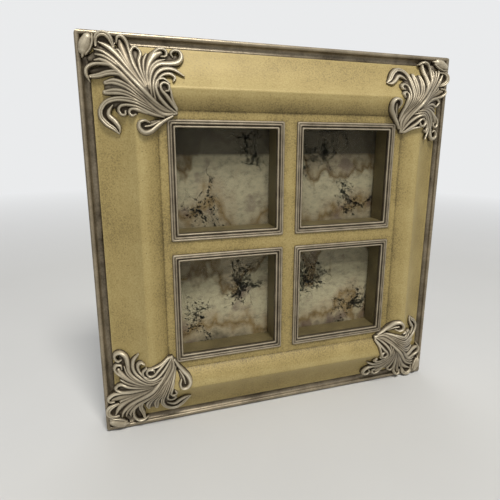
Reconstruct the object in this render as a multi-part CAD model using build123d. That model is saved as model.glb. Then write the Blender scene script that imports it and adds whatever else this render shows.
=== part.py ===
from build123d import *
from math import atan2, cos, radians, sin, tan
import os

# Collage photo frame: a square, free-standing frame with four deep windows in two rows of two.
# Millimetres. +Z is up, +X is to the right as seen from the front, and the front faces -Y.
# The origin is the centre of the flat face that the frame stands on.

# Windows and the flat panel around them
sight_size = 67.0
bead_width = 5.0
bar_width = 8.8
flat_margin = 5.1

# Widths of the moulding, from the outer edge inwards
lip_width = 3.0
rim_width = 7.4
cove_width = 22.6
ovolo_width = 13.5

# Reliefs of the moulding, measured from the face of the flat panel
crest_height = 5.7
rim_drop = 7.1
rim_cove_dip = 1.2
cove_hollow = 1.5
crest_round = 2.5
corner_round = 3.0

# Bead liner
bead_height = 1.2
bead_reed_crown = 0.45
reed_shoulder_share = 0.28
bead_inner_reed_width = 1.3
bead_inner_reed_drop = 0.6
bead_channel_width = 0.7
bead_channel_depth = 1.1
bead_skirt_width = 2.5

# Layers behind the panel's face
panel_thickness = 2.6
panel_lap = 6.0
cell_depth = 14.2
glass_thickness = 2.0
print_thickness = 0.3
card_thickness = 2.0
board_thickness = 3.0
rear_recess = 6.0

# Sleeves behind the windows and what they hold
cell_wall = 3.0
cell_flange_land = 3.0
cell_flange_wall = 2.1
sight_overlap = 4.6
pane_margin = 0.3
pane_clearance = 0.2

# Outer case
case_wall = 7.0
ledge_width = 9.0
moulding_edge_thickness = 4.2
board_clearance = 0.4
fit_clearance = 0.15
running_clearance = 0.3
pin_clearance = 0.05
cut_overrun = 1.0

# Fasteners of the mitres
nail_leg = 5.0
nail_sheet = 0.7
nail_height = 6.0
nail_pitch = 11.0
nail_inset = 7.0

# Turn buttons
button_reach = 21.0
button_width = 8.0
button_sheet = 1.0
button_lug_length = 3.0
button_lug_height = 2.2
button_height_offset = 62.0
screw_radius = 1.5
screw_head_radius = 2.9
screw_head_height = 1.5
screw_length = 9.0

# Sawtooth hanger
hanger_length = 46.0
hanger_width = 8.0
hanger_sheet = 1.0
hanger_rise = 2.4
hanger_tab = 9.0
hanger_teeth = 9
hanger_tooth = 1.3
hanger_screw_length = 7.0

# Bumpers on the rear edge
bumper_length = 12.0
bumper_width = 5.4
bumper_thickness = 3.0
bumper_bevel = 1.0
bumper_inset = 16.0

# Easel strut
strut_pivot_drop = 70.0
strut_foot_gap = 3.0
strut_head_width = 30.0
strut_foot_width = 54.0
strut_thickness = 3.0
strut_corner_round = 4.0
strut_opening = 28.0
strut_face_gap = 2.4
bracket_width = 26.0
bracket_rise = 18.0
bracket_drop = 9.0
bracket_sheet = 1.0
ear_radius = 2.1
strap_length = 26.0
hinge_pin_radius = 1.0
hinge_pin_head_radius = 1.7
hinge_pin_head_height = 0.7
rivet_radius = 1.3
rivet_head_radius = 2.4
rivet_head_height = 0.8
rivet_margin = 1.2
strap_rivet_shares = (0.45, 0.8)

# Corner ornament: its reach along each side, and the sizes that its leaves follow
ornament_reach = 60.0
leaf_width = 7.2
leaf_edge_sink = 0.4
leaf_ridge_rise = 3.4

# Sizes that follow from the ones above
rail_width = rim_width + cove_width + ovolo_width
window_pitch = sight_size + 2 * bead_width + bar_width
frame_side = 2 * (rail_width + flat_margin) + window_pitch + sight_size + 2 * bead_width
half_side = frame_side / 2
strut_pivot_height = frame_side - strut_pivot_drop
lip_radius = lip_width / 2
photo_size = sight_size + 2 * sight_overlap
pane_size = photo_size + 2 * pane_margin
rebate_size = pane_size + 2 * pane_clearance
flange_size = rebate_size + 2 * cell_flange_wall
strap_width = bracket_width - 2 * (bracket_sheet + running_clearance)

# Depths along Y, from front to back
glass_offset = panel_thickness + cell_depth
print_offset = glass_offset + glass_thickness
card_offset = print_offset + print_thickness
board_offset = card_offset + card_thickness
board_rear_offset = board_offset + board_thickness
rear_offset = board_rear_offset + rear_recess
panel_y = -(rim_drop + lip_radius + rear_offset) / 2
crest_y = panel_y - crest_height
lip_y = panel_y + rim_drop
edge_y = lip_y + lip_radius
moulding_back_y = edge_y + moulding_edge_thickness
bead_y = panel_y - bead_height
panel_back_y = panel_y + panel_thickness
glass_y = panel_y + glass_offset
print_y = panel_y + print_offset
card_y = panel_y + card_offset
board_y = panel_y + board_offset
board_rear_y = panel_y + board_rear_offset
rear_y = panel_y + rear_offset

# The quarter turns that carry a bottom side or a top left corner round the frame
frame_axis = Axis((0, 0, half_side), (0, 1, 0))
side_names = ("bottom", "left", "top", "right")
corner_names = ("top_left", "top_right", "bottom_right", "bottom_left")
quarter_turns = [360 / len(side_names) * k for k in range(len(side_names))]
side_turns = dict(zip(side_names, quarter_turns))
corner_turns = dict(zip(corner_names, quarter_turns))
corner_signs = {
    "top_left": (-1, 1),
    "top_right": (1, 1),
    "bottom_left": (-1, -1),
    "bottom_right": (1, -1),
}


def box(width, depth, height, x, y, z):
    """A box centred on x and z, whose front face is at y."""
    return Pos(x, y + depth / 2, z) * Box(width, depth, height)


def plate_along_y(sketch, thickness, y):
    """A flat sketch drawn as seen from the front, raised from y towards the back."""
    front = Plane(origin=(0, y, 0), x_dir=(1, 0, 0), z_dir=(0, -1, 0))
    return extrude(front * sketch, amount=thickness, dir=(0, 1, 0))


def cylinder_along_y(radius, length, x, y, z):
    """A cylinder from y towards the back."""
    return Pos(x, y + length / 2, z) * Rot(90, 0, 0) * Cylinder(radius, length)


def section_face(edges):
    """The face inside a closed row of edges."""
    return Face(Wire(edges))


def at(inset, y):
    """A point of a side's section, by its distance in from the outer edge and its depth."""
    return (0, y, inset)


def line(*points):
    """Straight edges through a row of section points."""
    return [Edge.make_line(a, b) for a, b in zip(points, points[1:])]


def arc(start, middle, end):
    """A round edge through three section points."""
    return Edge.make_three_point_arc(start, middle, end)


def mitred_side(section, side):
    """The bottom side of a square ring: a section drawn in the YZ plane, mitred at both ends."""
    bar = extrude(Pos(-side / 2, 0, 0) * section, amount=side, dir=(1, 0, 0))
    reach = side / 2 - cut_overrun
    wedge = Polygon(
        (-side / 2, 0), (side / 2, 0), (side / 2 - reach, reach), (-side / 2 + reach, reach),
        align=None,
    )
    depth = 2 * (rear_y - crest_y)
    return bar & plate_along_y(wedge, 2 * depth, -depth)


def ring(section, side, x, z):
    """A square ring of a given outer side, centred on x and z."""
    base = mitred_side(section, side)
    turn_axis = Axis((0, 0, side / 2), (0, 1, 0))
    whole = base
    for turn in quarter_turns[1:]:
        whole = whole + base.rotate(turn_axis, turn)
    return Pos(x, 0, z - side / 2) * whole


def turned(shape, turn):
    """A shape carried round the frame by a turn about its middle."""
    return shape.rotate(frame_axis, turn) if turn else shape


# Rim and case


def lip_arc():
    return arc(at(0, edge_y), at(lip_radius, lip_y), at(lip_width, edge_y))


def rim_cove_arc():
    middle = (lip_width + rim_width) / 2
    return arc(at(lip_width, edge_y), at(middle, edge_y + rim_cove_dip), at(rim_width, edge_y))


def rim_frame():
    """The rim with its lip and cove, the case behind it and the ledge between board and moulding."""
    ledge_edge = case_wall + ledge_width
    outline = [
        lip_arc(),
        rim_cove_arc(),
        *line(
            at(rim_width, edge_y), at(rim_width, moulding_back_y), at(ledge_edge, moulding_back_y),
            at(ledge_edge, board_rear_y), at(case_wall, board_rear_y), at(case_wall, rear_y),
            at(0, rear_y), at(0, edge_y),
        ),
    ]
    whole = ring(section_face(outline), frame_side, 0, half_side)
    depth = 2 * (rear_y - crest_y)
    rounding = plate_along_y(
        Pos(0, half_side) * RectangleRounded(frame_side, frame_side, corner_round), 2 * depth, -depth
    )
    drilled = whole & rounding
    for x, z in button_places().values():
        drilled -= cylinder_along_y(screw_radius, screw_length, x, board_rear_y - screw_length, z)
    for x in hanger_screw_places():
        hole_y = board_rear_y - hanger_screw_length
        drilled -= cylinder_along_y(screw_radius, hanger_screw_length, x, hole_y, hanger_height())
    return drilled


# Mouldings


def cove_middle():
    """The inset and depth of the deepest point of the long hollow."""
    rise = crest_y - edge_y
    length = (cove_width ** 2 + rise ** 2) ** 0.5
    inset = rim_width + cove_width / 2 - cove_hollow * rise / length
    return inset, edge_y + rise / 2 + cove_hollow * cove_width / length


def cove_arc():
    """The long hollow from the rim up to the crest."""
    return arc(at(rim_width, edge_y), at(*cove_middle()), at(rim_width + cove_width, crest_y))


def ovolo_radius():
    return (ovolo_width ** 2 + crest_height ** 2) / (2 * crest_height)


def ovolo_arc():
    """The quarter-round from the crest, where it runs level, down to the panel."""
    radius = ovolo_radius()
    angle = atan2(ovolo_width, radius - crest_height) / 2
    crest_inset = rim_width + cove_width
    middle = at(crest_inset + radius * sin(angle), crest_y + radius * (1 - cos(angle)))
    return arc(at(crest_inset, crest_y), middle, at(rail_width, panel_y))


def moulding_section():
    lap_inset = rail_width - panel_lap
    outline = [
        cove_arc(),
        ovolo_arc(),
        *line(
            at(rail_width, panel_y), at(lap_inset, panel_y), at(lap_inset, moulding_back_y),
            at(rim_width, moulding_back_y), at(rim_width, edge_y),
        ),
    ]
    face = section_face(outline)
    crest_point = Vector(*at(rim_width + cove_width, crest_y))
    crest = face.vertices().sort_by_distance(crest_point)[0]
    return face.fillet_2d(crest_round, [crest])


def v_nail(inset, clearance):
    """A V of sheet that straddles the bottom left mitre with its point towards the frame's corner."""
    tip = nail_leg + nail_sheet + clearance
    shape = Polygon((0, 0), (tip, 0), (tip, nail_sheet), (nail_sheet, nail_sheet),
                    (nail_sheet, tip), (0, tip), align=None)
    place = Pos(-half_side + inset, inset)
    return plate_along_y(place * shape, nail_height, moulding_back_y - nail_height)


def v_nails(turn):
    """The V-nails of the corner that a turn carries the bottom left one to."""
    insets = [rim_width + nail_inset + nail_pitch * k for k in range(2)]
    return [turned(v_nail(inset, 0), turn) for inset in insets]


def moulding(turn):
    """One mitred length of moulding, cut for the V-nails at both of its ends."""
    side = mitred_side(moulding_section(), frame_side)
    for corner_turn in (quarter_turns[0], quarter_turns[-1]):
        for nail in v_nails(corner_turn):
            side -= nail
    return turned(side, turn)


# Panel, beads and sleeves


def window_centres():
    """The middle of each window, by its name."""
    return {
        name: (sx * window_pitch / 2, half_side + sz * window_pitch / 2)
        for name, (sx, sz) in corner_signs.items()
    }


def window_panel():
    """The flat panel behind the mouldings' feet, with an opening for each bead's skirt."""
    side = frame_side - 2 * (rail_width - panel_lap + fit_clearance)
    panel = box(side, panel_thickness, side, 0, panel_y, half_side)
    opening = sight_size + 2 * (bead_skirt_width + fit_clearance)
    for x, z in window_centres().values():
        panel -= box(opening, 2 * panel_thickness, opening, x, panel_y - panel_thickness / 2, z)
    return panel


def reed(start, end, foot_y):
    """The three flats of a reed between two insets, crowned above foot_y."""
    shoulder = reed_shoulder_share * (end - start)
    crown_y = foot_y - bead_reed_crown
    return line(at(start, foot_y), at(start + shoulder, crown_y), at(end - shoulder, crown_y),
                at(end, foot_y))


def bead_section():
    """A thin inner reed, a channel and two wider reeds, over a skirt that enters the panel."""
    inner_y = panel_y - bead_height + bead_inner_reed_drop + bead_reed_crown
    outer_y = panel_y - bead_height + bead_reed_crown
    channel_y = panel_y - bead_height + bead_channel_depth + bead_reed_crown
    inner_end = bead_width - bead_inner_reed_width
    channel_end = inner_end - bead_channel_width
    skirt_inset = bead_width - bead_skirt_width
    return section_face([
        *reed(0, channel_end / 2, outer_y),
        *reed(channel_end / 2, channel_end, outer_y),
        *line(at(channel_end, outer_y), at(channel_end, channel_y), at(inner_end, inner_y)),
        *reed(inner_end, bead_width, inner_y),
        *line(
            at(bead_width, inner_y), at(bead_width, panel_back_y), at(skirt_inset, panel_back_y),
            at(skirt_inset, panel_y), at(0, panel_y), at(0, outer_y),
        ),
    ])


def bead_liner(x, z):
    return ring(bead_section(), sight_size + 2 * bead_width, x, z)


def cell(x, z):
    """A square sleeve with a rear flange, whose rebate holds the glass, the print and the card."""
    sleeve = sight_size + 2 * cell_wall
    flange_y = glass_y - cell_flange_land
    body = box(sleeve, flange_y - panel_back_y, sleeve, x, panel_back_y, z)
    body += box(flange_size, board_y - flange_y, flange_size, x, flange_y, z)
    body -= box(sight_size, 2 * glass_offset, sight_size, x, panel_back_y - glass_offset / 2, z)
    body -= box(rebate_size, board_y - glass_y + cut_overrun, rebate_size, x, glass_y, z)
    return body


def glass_pane(x, z):
    return box(pane_size, glass_thickness, pane_size, x, glass_y, z)


def photo_print(x, z):
    return box(photo_size, print_thickness, photo_size, x, print_y, z)


def backing_card(x, z):
    return box(photo_size, card_thickness, photo_size, x, card_y, z)


# Back board and its turn buttons


def back_board():
    """The board that closes the back, drilled for the easel bracket's rivets."""
    side = frame_side - 2 * (case_wall + ledge_width + board_clearance)
    board = box(side, board_thickness, side, 0, board_y, half_side)
    for x, z in bracket_rivet_places():
        board -= cylinder_along_y(rivet_radius, 2 * board_thickness, x, board_y - board_thickness / 2, z)
    return board


def button_places():
    """The pivots of the turn buttons, in the middle of the ledge at each side."""
    reach = half_side - case_wall - ledge_width / 2
    places = {}
    for side_name, sx in (("left", -1), ("right", 1)):
        places["upper_" + side_name] = (sx * reach, half_side + button_height_offset)
        places["lower_" + side_name] = (sx * reach, half_side - button_height_offset)
    return places


def turn_button(x, z):
    """A flat button with round ends, a screw hole and a thumb lug, closed over the board."""
    inward = -1 if x > 0 else 1
    end_radius = button_width / 2
    plate = Rectangle(button_reach - end_radius, button_width, align=(Align.MIN, Align.CENTER))
    plate += Circle(end_radius)
    plate += Pos(button_reach - end_radius) * Circle(end_radius)
    plate -= Circle(screw_radius + pin_clearance)
    lug_end = button_reach - end_radius
    lug = Pos(lug_end - button_lug_length / 2) * Rectangle(button_sheet, button_width)
    sheet_y = board_rear_y + running_clearance
    button = plate_along_y(plate, button_sheet, sheet_y)
    button += plate_along_y(lug, button_sheet + button_lug_height, sheet_y)
    if inward < 0:
        button = button.rotate(Axis.Y, 180)
    return Pos(x, 0, z) * button


def screw(x, head_y, z, length):
    """A pan-head screw with its head's flat underside at head_y."""
    head = cylinder_along_y(screw_head_radius, screw_head_height, x, head_y, z)
    return head + cylinder_along_y(screw_radius, length, x, head_y - length, z)


def turn_button_screws():
    """One screw through each turn button, into the ledge."""
    head_y = board_rear_y + 2 * running_clearance + button_sheet
    length = screw_length + head_y - board_rear_y
    return [screw(x, head_y, z, length) for x, z in button_places().values()]


# Sawtooth hanger


def hanger_height():
    return frame_side - case_wall - ledge_width / 2


def hanger_screw_places():
    reach = hanger_length / 2 - hanger_tab / 2
    return (-reach, reach)


def sawtooth_hanger():
    """A strip on two tabs, raised between them, with a row of teeth along its lower edge."""
    half = hanger_length / 2
    tab_end = half - hanger_tab
    foot, top = board_rear_y, board_rear_y + hanger_rise
    side_points = [
        (-half, foot), (-tab_end, foot), (-tab_end + hanger_rise, top), (tab_end - hanger_rise, top),
        (tab_end, foot), (half, foot), (half, foot + hanger_sheet),
        (tab_end + hanger_sheet / 2, foot + hanger_sheet),
        (tab_end - hanger_rise + hanger_sheet / 2, top + hanger_sheet),
        (-tab_end + hanger_rise - hanger_sheet / 2, top + hanger_sheet),
        (-tab_end - hanger_sheet / 2, foot + hanger_sheet), (-half, foot + hanger_sheet),
    ]
    low = hanger_height() - hanger_width / 2
    strip = extrude(Plane.XY.offset(low) * Polygon(*side_points, align=None), amount=hanger_width)
    run = 2 * (tab_end - hanger_rise) / hanger_teeth
    for k in range(hanger_teeth):
        x = -tab_end + hanger_rise + run * (k + 0.5)
        notch = Polygon((x - run / 2, low - cut_overrun), (x + run / 2, low - cut_overrun),
                        (x + run / 2, low), (x, low + hanger_tooth), (x - run / 2, low), align=None)
        strip -= plate_along_y(notch, 2 * hanger_rise, board_rear_y)
    for x in hanger_screw_places():
        strip -= cylinder_along_y(screw_radius, 2 * hanger_sheet, x, foot - hanger_sheet / 2,
                                  hanger_height())
    return strip


def hanger_screws():
    length = hanger_screw_length + hanger_sheet
    head_y = board_rear_y + hanger_sheet
    return [screw(x, head_y, hanger_height(), length) for x in hanger_screw_places()]


def wall_bumpers():
    """Bevelled rubber pads near the ends of the case's upper and lower rear edges."""
    bumpers = []
    for sx, sz in corner_signs.values():
        x = sx * (half_side - bumper_inset)
        z = half_side + sz * (half_side - case_wall / 2)
        bumper = box(bumper_length, bumper_thickness, bumper_width, x, rear_y, z)
        bumpers.append(chamfer(bumper.edges().group_by(Axis.Y)[-1], bumper_bevel))
    return bumpers


# Easel strut


def pivot_y():
    """The depth of the strut's pin: the closed strut clears the case's rear edge."""
    return rear_y + running_clearance - strut_face_gap


def strut_front_y():
    return pivot_y() + strut_face_gap


def strut_head_rise():
    """How far the strut's head passes its pin, so that it meets the bracket when fully open."""
    angle = radians(strut_opening)
    room = pivot_y() - board_rear_y - bracket_sheet - running_clearance
    return (strut_face_gap * cos(angle) + room) / sin(angle)


def rivet(x, z, front_y, grip):
    """A rivet set flush at front_y, with a flat head past its grip."""
    head = cylinder_along_y(rivet_head_radius, rivet_head_height, x, front_y + grip, z)
    return head + cylinder_along_y(rivet_radius, grip, x, front_y, z)


def bracket_rivet_places():
    x = bracket_width / 4
    high = strut_pivot_height + bracket_rise - rivet_margin - rivet_head_radius
    return ((-x, high), (x, high))


def ear(x_out, sheet, root_y, reach_z):
    """An upright ear of sheet between a plate at root_y and a round end about the pin."""
    tip = Circle(ear_radius)
    depth = abs(root_y - pivot_y())
    toward = 1 if root_y > pivot_y() else -1
    web = Pos(toward * depth / 2, 0) * Rectangle(depth, 2 * ear_radius)
    foot = Pos(toward * (depth - ear_radius / 4), 0) * Rectangle(ear_radius / 2, reach_z)
    outline = tip + web + foot
    side = Plane(origin=(0, pivot_y(), strut_pivot_height), x_dir=(0, 1, 0), z_dir=(1, 0, 0))
    blank = extrude(side * outline, amount=sheet)
    start = x_out - sheet if x_out > 0 else x_out
    return Pos(start, 0, 0) * blank


def pin_bore(radius):
    length = 2 * bracket_width
    return Pos(0, pivot_y(), strut_pivot_height) * Rot(0, 90, 0) * Cylinder(radius, length)


def easel_bracket():
    """A plate riveted to the board, with an ear at each side for the pin."""
    height = bracket_rise + bracket_drop
    z = strut_pivot_height + (bracket_rise - bracket_drop) / 2
    bracket = box(bracket_width, bracket_sheet, height, 0, board_rear_y, z)
    for x_out in (-bracket_width / 2, bracket_width / 2):
        bracket += ear(x_out, bracket_sheet, board_rear_y, 3 * ear_radius)
    bracket -= pin_bore(hinge_pin_radius)
    for x, rivet_z in bracket_rivet_places():
        bracket -= cylinder_along_y(rivet_radius, 2 * bracket_sheet, x,
                                    board_rear_y - bracket_sheet / 2, rivet_z)
    return bracket


def easel_bracket_rivets():
    return [
        rivet(x, z, board_y, board_thickness + bracket_sheet)
        for x, z in bracket_rivet_places()
    ]


def strap_rivet_places():
    first, second = strap_rivet_shares
    return (
        (0, strut_pivot_height - strap_length * first),
        (0, strut_pivot_height - strap_length * second),
    )


def strap_rivets():
    front_y = strut_front_y() - bracket_sheet
    grip = bracket_sheet + strut_thickness
    return [rivet(x, z, front_y, grip) for x, z in strap_rivet_places()]


def easel_leg():
    """A tapered board with round corners, hung from its pin and closed against the back."""
    top = strut_pivot_height + strut_head_rise()
    outline = Polygon(
        (-strut_head_width / 2, top), (strut_head_width / 2, top),
        (strut_foot_width / 2, strut_foot_gap), (-strut_foot_width / 2, strut_foot_gap),
        align=None,
    )
    outline = fillet(outline.vertices(), strut_corner_round)
    leg = plate_along_y(outline, strut_thickness, strut_front_y())
    for shape in strap_rivets():
        leg -= shape
    return leg


def easel_leg_strap():
    """A strap riveted to the strut's front, with an ear at each side inside the bracket's ears."""
    strap_y = strut_front_y() - bracket_sheet
    height = strap_length + ear_radius
    z = strut_pivot_height + ear_radius - height / 2
    strap = box(strap_width, bracket_sheet, height, 0, strap_y, z)
    for x_out in (-strap_width / 2, strap_width / 2):
        strap += ear(x_out, bracket_sheet, strut_front_y(), 2 * ear_radius)
    strap -= pin_bore(hinge_pin_radius + pin_clearance)
    for shape in strap_rivets():
        strap -= shape
    return strap


def easel_pin():
    """A straight pin with a flat head past each of the bracket's ears."""
    pin = Cylinder(hinge_pin_radius, bracket_width + 2 * hinge_pin_head_height)
    for sign in (-1, 1):
        z = sign * (bracket_width + hinge_pin_head_height) / 2
        pin += Pos(0, 0, z) * Cylinder(hinge_pin_head_radius, hinge_pin_head_height)
    return Pos(0, pivot_y(), strut_pivot_height) * Rot(0, 90, 0) * pin


# Corner ornaments


def seat_runs():
    """The frame's face from its outer edge inwards, by straight runs that nowhere cut into it.

    Chords lie clear of the hollow of the cove, and tangents clear of the round of the ovolo.
    """
    crest_inset = rim_width + cove_width
    bead_inset = rail_width + flat_margin
    radius = ovolo_radius()
    angle = atan2(ovolo_width, radius - crest_height) / 4
    far = 3 * angle
    return [
        (0, lip_y), (lip_width, lip_y), (rim_width, edge_y), cove_middle(), (crest_inset, crest_y),
        (crest_inset + radius * tan(angle), crest_y),
        (crest_inset + radius * sin(far) / cos(angle), crest_y + radius * (1 - cos(far) / cos(angle))),
        (rail_width, panel_y), (bead_inset, panel_y), (bead_inset, bead_y),
        (bead_inset + bead_width, bead_y),
    ]


def ground_block():
    """Everything below those runs round the top left corner, in two mitred halves."""
    runs = [at(*run) for run in seat_runs()]
    inner = rail_width + flat_margin + bead_width
    outline = section_face(line(*runs, at(inner, rear_y), at(0, rear_y), runs[0]))
    side = mitred_side(outline, frame_side)
    return turned(side, side_turns["left"]) + turned(side, side_turns["top"])


def face_y(inset):
    """The depth of those runs at a distance in from the outer edge."""
    runs = seat_runs()
    for (near, near_y), (far, far_y) in zip(runs, runs[1:]):
        if inset < far:
            return near_y + (far_y - near_y) * (inset - near) / (far - near)
    return bead_y


def along(shares, place):
    """The value at a place from 0 to 1 of a curve through a start, a middle and an end share."""
    start, middle, end = shares
    rise = start * (1 - place) * (1 - 2 * place)
    return rise + 4 * middle * place * (1 - place) + end * place * (2 * place - 1)


def leaf_rows(path_shares, width_shares, rise_shares):
    """The left edge, the ridge and the right edge of a leaf that rides over the frame's face."""
    path = [Vector(u * ornament_reach, v * ornament_reach) for u, v in path_shares]
    last = len(path) - 1
    rows = {1: [], 0: [], -1: []}
    for k, middle in enumerate(path):
        direction = (path[min(k + 1, last)] - path[max(k - 1, 0)]).normalized()
        across = Vector(-direction.Y, direction.X) * along(width_shares, k / last) * leaf_width / 2
        rise_share = along(rise_shares, k / last)
        for side, row in rows.items():
            point = middle + across * side
            rise = -leaf_edge_sink if side else rise_share * leaf_ridge_rise
            y = face_y(min(point.X, point.Y)) - rise
            row.append(Vector(point.X - half_side, y, frame_side - point.Y))
    return rows[1], rows[0], rows[-1]


def leaf(left, ridge, right):
    """The solid below a leaf's three rows: two slopes from its ridge, and flat walls to the back."""
    def foot(point):
        return Vector(point.X, rear_y, point.Z)

    outlines = [[foot(point) for point in left + right[::-1]]]
    for end in (0, -1):
        outlines.append([left[end], ridge[end], right[end], foot(right[end]), foot(left[end])])
    for edge in (left, right):
        for a, b, over_a, over_b in zip(edge, edge[1:], ridge, ridge[1:]):
            outlines += [[a, b, foot(b), foot(a)], [a, over_a, over_b], [a, over_b, b]]
    return Solid(Shell([Face(Wire.make_polygon(outline)) for outline in outlines]))


leaf_shares = {
    "midrib": (
        ((0.82, 0.78), (0.63, 0.60), (0.47, 0.43), (0.32, 0.28), (0.18, 0.18)),
        (0.5, 1.2, 0.7), (0.9, 1.1, 0.9)),
    "corner_hood": (
        ((0.40, 0.35), (0.27, 0.20), (0.15, 0.10), (0.08, 0.15), (0.10, 0.25)),
        (0.8, 1.2, 0.5), (0.7, 1.1, 1.1)),
    "folded_lobe": (
        ((0.50, 0.47), (0.38, 0.28), (0.30, 0.13), (0.20, 0.07)),
        (0.8, 1.2, 0.7), (0.6, 1.0, 1.2)),
    "upper_lobe": (
        ((0.70, 0.65), (0.53, 0.45), (0.45, 0.25), (0.45, 0.07)),
        (0.5, 1.3, 0.9), (0.9, 0.9, 1.0)),
    "crown_lobe": (
        ((0.72, 0.67), (0.60, 0.47), (0.55, 0.30), (0.57, 0.17)),
        (0.5, 1.0, 0.8), (0.9, 1.1, 1.0)),
    "raised_lobe": (
        ((0.75, 0.68), (0.65, 0.50), (0.63, 0.33), (0.70, 0.22), (0.82, 0.15)),
        (0.5, 0.8, 0.8), (0.9, 1.1, 1.2)),
    "hooked_scroll": (
        ((0.78, 0.72), (0.68, 0.53), (0.70, 0.37), (0.83, 0.28), (0.95, 0.25), (0.97, 0.17),
         (0.88, 0.15)),
        (0.5, 0.7, 0.5), (0.9, 1.0, 1.2)),
    "tongue": (
        ((0.82, 0.73), (0.72, 0.57), (0.73, 0.42), (0.85, 0.33), (1.00, 0.38)),
        (0.5, 0.7, 0.2), (0.9, 1.1, 0.9)),
    "inner_spiral": (
        ((0.87, 0.75), (0.77, 0.63), (0.72, 0.52), (0.77, 0.42), (0.85, 0.47), (0.80, 0.53)),
        (0.6, 0.7, 0.4), (0.9, 1.0, 1.1)),
    "left_finger": (
        ((0.70, 0.72), (0.53, 0.58), (0.40, 0.50), (0.25, 0.47)),
        (0.5, 1.0, 0.7), (0.9, 1.0, 1.1)),
    "lower_finger": (
        ((0.72, 0.75), (0.55, 0.63), (0.40, 0.58), (0.23, 0.57)),
        (0.5, 1.0, 0.7), (0.8, 0.9, 1.1)),
    "curled_lip": (
        ((0.53, 0.50), (0.40, 0.38), (0.25, 0.33), (0.12, 0.35), (0.12, 0.45)),
        (0.7, 0.8, 0.5), (0.9, 1.0, 1.2)),
    "long_leaf": (
        ((0.77, 0.78), (0.58, 0.70), (0.40, 0.65), (0.25, 0.70), (0.20, 0.82), (0.27, 0.92),
         (0.37, 0.98)),
        (0.5, 0.9, 0.2), (0.9, 1.0, 0.8)),
    "small_curl": (
        ((0.70, 0.77), (0.55, 0.73), (0.43, 0.72), (0.42, 0.78)),
        (0.5, 0.7, 0.5), (0.7, 0.8, 1.0)),
    "lower_scroll": (
        ((0.82, 0.78), (0.73, 0.87), (0.62, 0.93), (0.53, 0.88), (0.60, 0.83)),
        (0.6, 0.7, 0.4), (0.9, 0.9, 1.0)),
}


def corner_ornament():
    """The top left ornament: ridged leaves from one root, joined and seated on the frame's face."""
    first, *others = [leaf(*leaf_rows(*shares)) for shares in leaf_shares.values()]
    spray = first.fuse(*others) - ground_block()
    return max(spray.solids(), key=lambda solid: solid.volume)


def write(name, shapes):
    """Write one node: a single solid, or a group of like solids."""
    solids = []
    for shape in shapes if isinstance(shapes, (list, tuple)) else [shapes]:
        solids.extend(shape.solids())
    node = solids[0] if len(solids) == 1 else Compound(children=solids)
    node.label = name
    export_step(node, os.path.join("parts", name + ".step"))


def main():
    os.makedirs("parts", exist_ok=True)
    write("rim_frame", rim_frame())
    for name, turn in side_turns.items():
        write("moulding_" + name, moulding(turn))
    write("corner_v_nails", [nail for turn in corner_turns.values() for nail in v_nails(turn)])
    write("window_panel", window_panel())
    for name, (x, z) in window_centres().items():
        write("bead_" + name, bead_liner(x, z))
        write("cell_" + name, cell(x, z))
        write("glass_" + name, glass_pane(x, z))
        write("print_" + name, photo_print(x, z))
        write("card_" + name, backing_card(x, z))
    ornament = corner_ornament()
    for name, turn in corner_turns.items():
        write("ornament_" + name, turned(ornament, turn))
    write("back_board", back_board())
    for name, (x, z) in button_places().items():
        write("turn_button_" + name, turn_button(x, z))
    write("turn_button_screws", turn_button_screws())
    write("sawtooth_hanger", sawtooth_hanger())
    write("hanger_screws", hanger_screws())
    write("wall_bumpers", wall_bumpers())
    write("easel_bracket", easel_bracket())
    write("easel_bracket_rivets", easel_bracket_rivets())
    write("easel_pin", easel_pin())
    write("easel_leg", easel_leg())
    write("easel_leg_strap", easel_leg_strap())
    write("easel_leg_rivets", strap_rivets())


if __name__ == "__main__":
    main()
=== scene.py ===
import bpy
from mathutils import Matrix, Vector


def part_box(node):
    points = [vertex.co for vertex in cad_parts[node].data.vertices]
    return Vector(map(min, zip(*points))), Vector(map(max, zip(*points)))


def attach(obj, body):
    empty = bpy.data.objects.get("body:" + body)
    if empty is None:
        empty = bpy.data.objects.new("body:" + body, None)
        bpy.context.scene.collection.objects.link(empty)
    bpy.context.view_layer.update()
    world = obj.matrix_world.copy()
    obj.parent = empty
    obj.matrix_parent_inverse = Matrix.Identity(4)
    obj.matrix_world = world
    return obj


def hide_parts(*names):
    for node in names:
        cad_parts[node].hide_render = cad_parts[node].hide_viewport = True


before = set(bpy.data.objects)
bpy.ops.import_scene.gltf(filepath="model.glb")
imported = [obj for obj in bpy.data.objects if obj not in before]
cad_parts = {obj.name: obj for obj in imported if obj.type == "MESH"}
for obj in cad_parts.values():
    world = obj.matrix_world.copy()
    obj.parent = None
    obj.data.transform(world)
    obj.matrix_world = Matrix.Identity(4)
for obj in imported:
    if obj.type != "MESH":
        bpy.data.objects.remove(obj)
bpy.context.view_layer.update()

import math

import bmesh
import bpy
import numpy as np
from bpy.props import FloatProperty, FloatVectorProperty, IntProperty, PointerProperty
from mathutils import Matrix, Vector, noise
from mathutils.bvhtree import BVHTree

bl_info = {
    "name": "Collage photo frame",
    "version": (1, 0, 0),
    "blender": (4, 5, 0),
    "location": "View3D > Sidebar > Photo frame",
    "description": "Finishes and carved detail for a square photo frame with four deep windows",
    "category": "Add Mesh",
}

MM = 0.001
# Colour of the white surround, and of the light that comes from it
SURROUND_TINT = (0.98, 0.99, 1.0, 1.0)

# The turn in degrees that carries the top left casting to each corner
CORNER_TURNS = {"top_left": 0, "top_right": 90, "bottom_right": 180, "bottom_left": 270}
SIDES = ("bottom", "left", "top", "right")
BUTTONS = ("upper_left", "lower_left", "upper_right", "lower_right")

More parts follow.
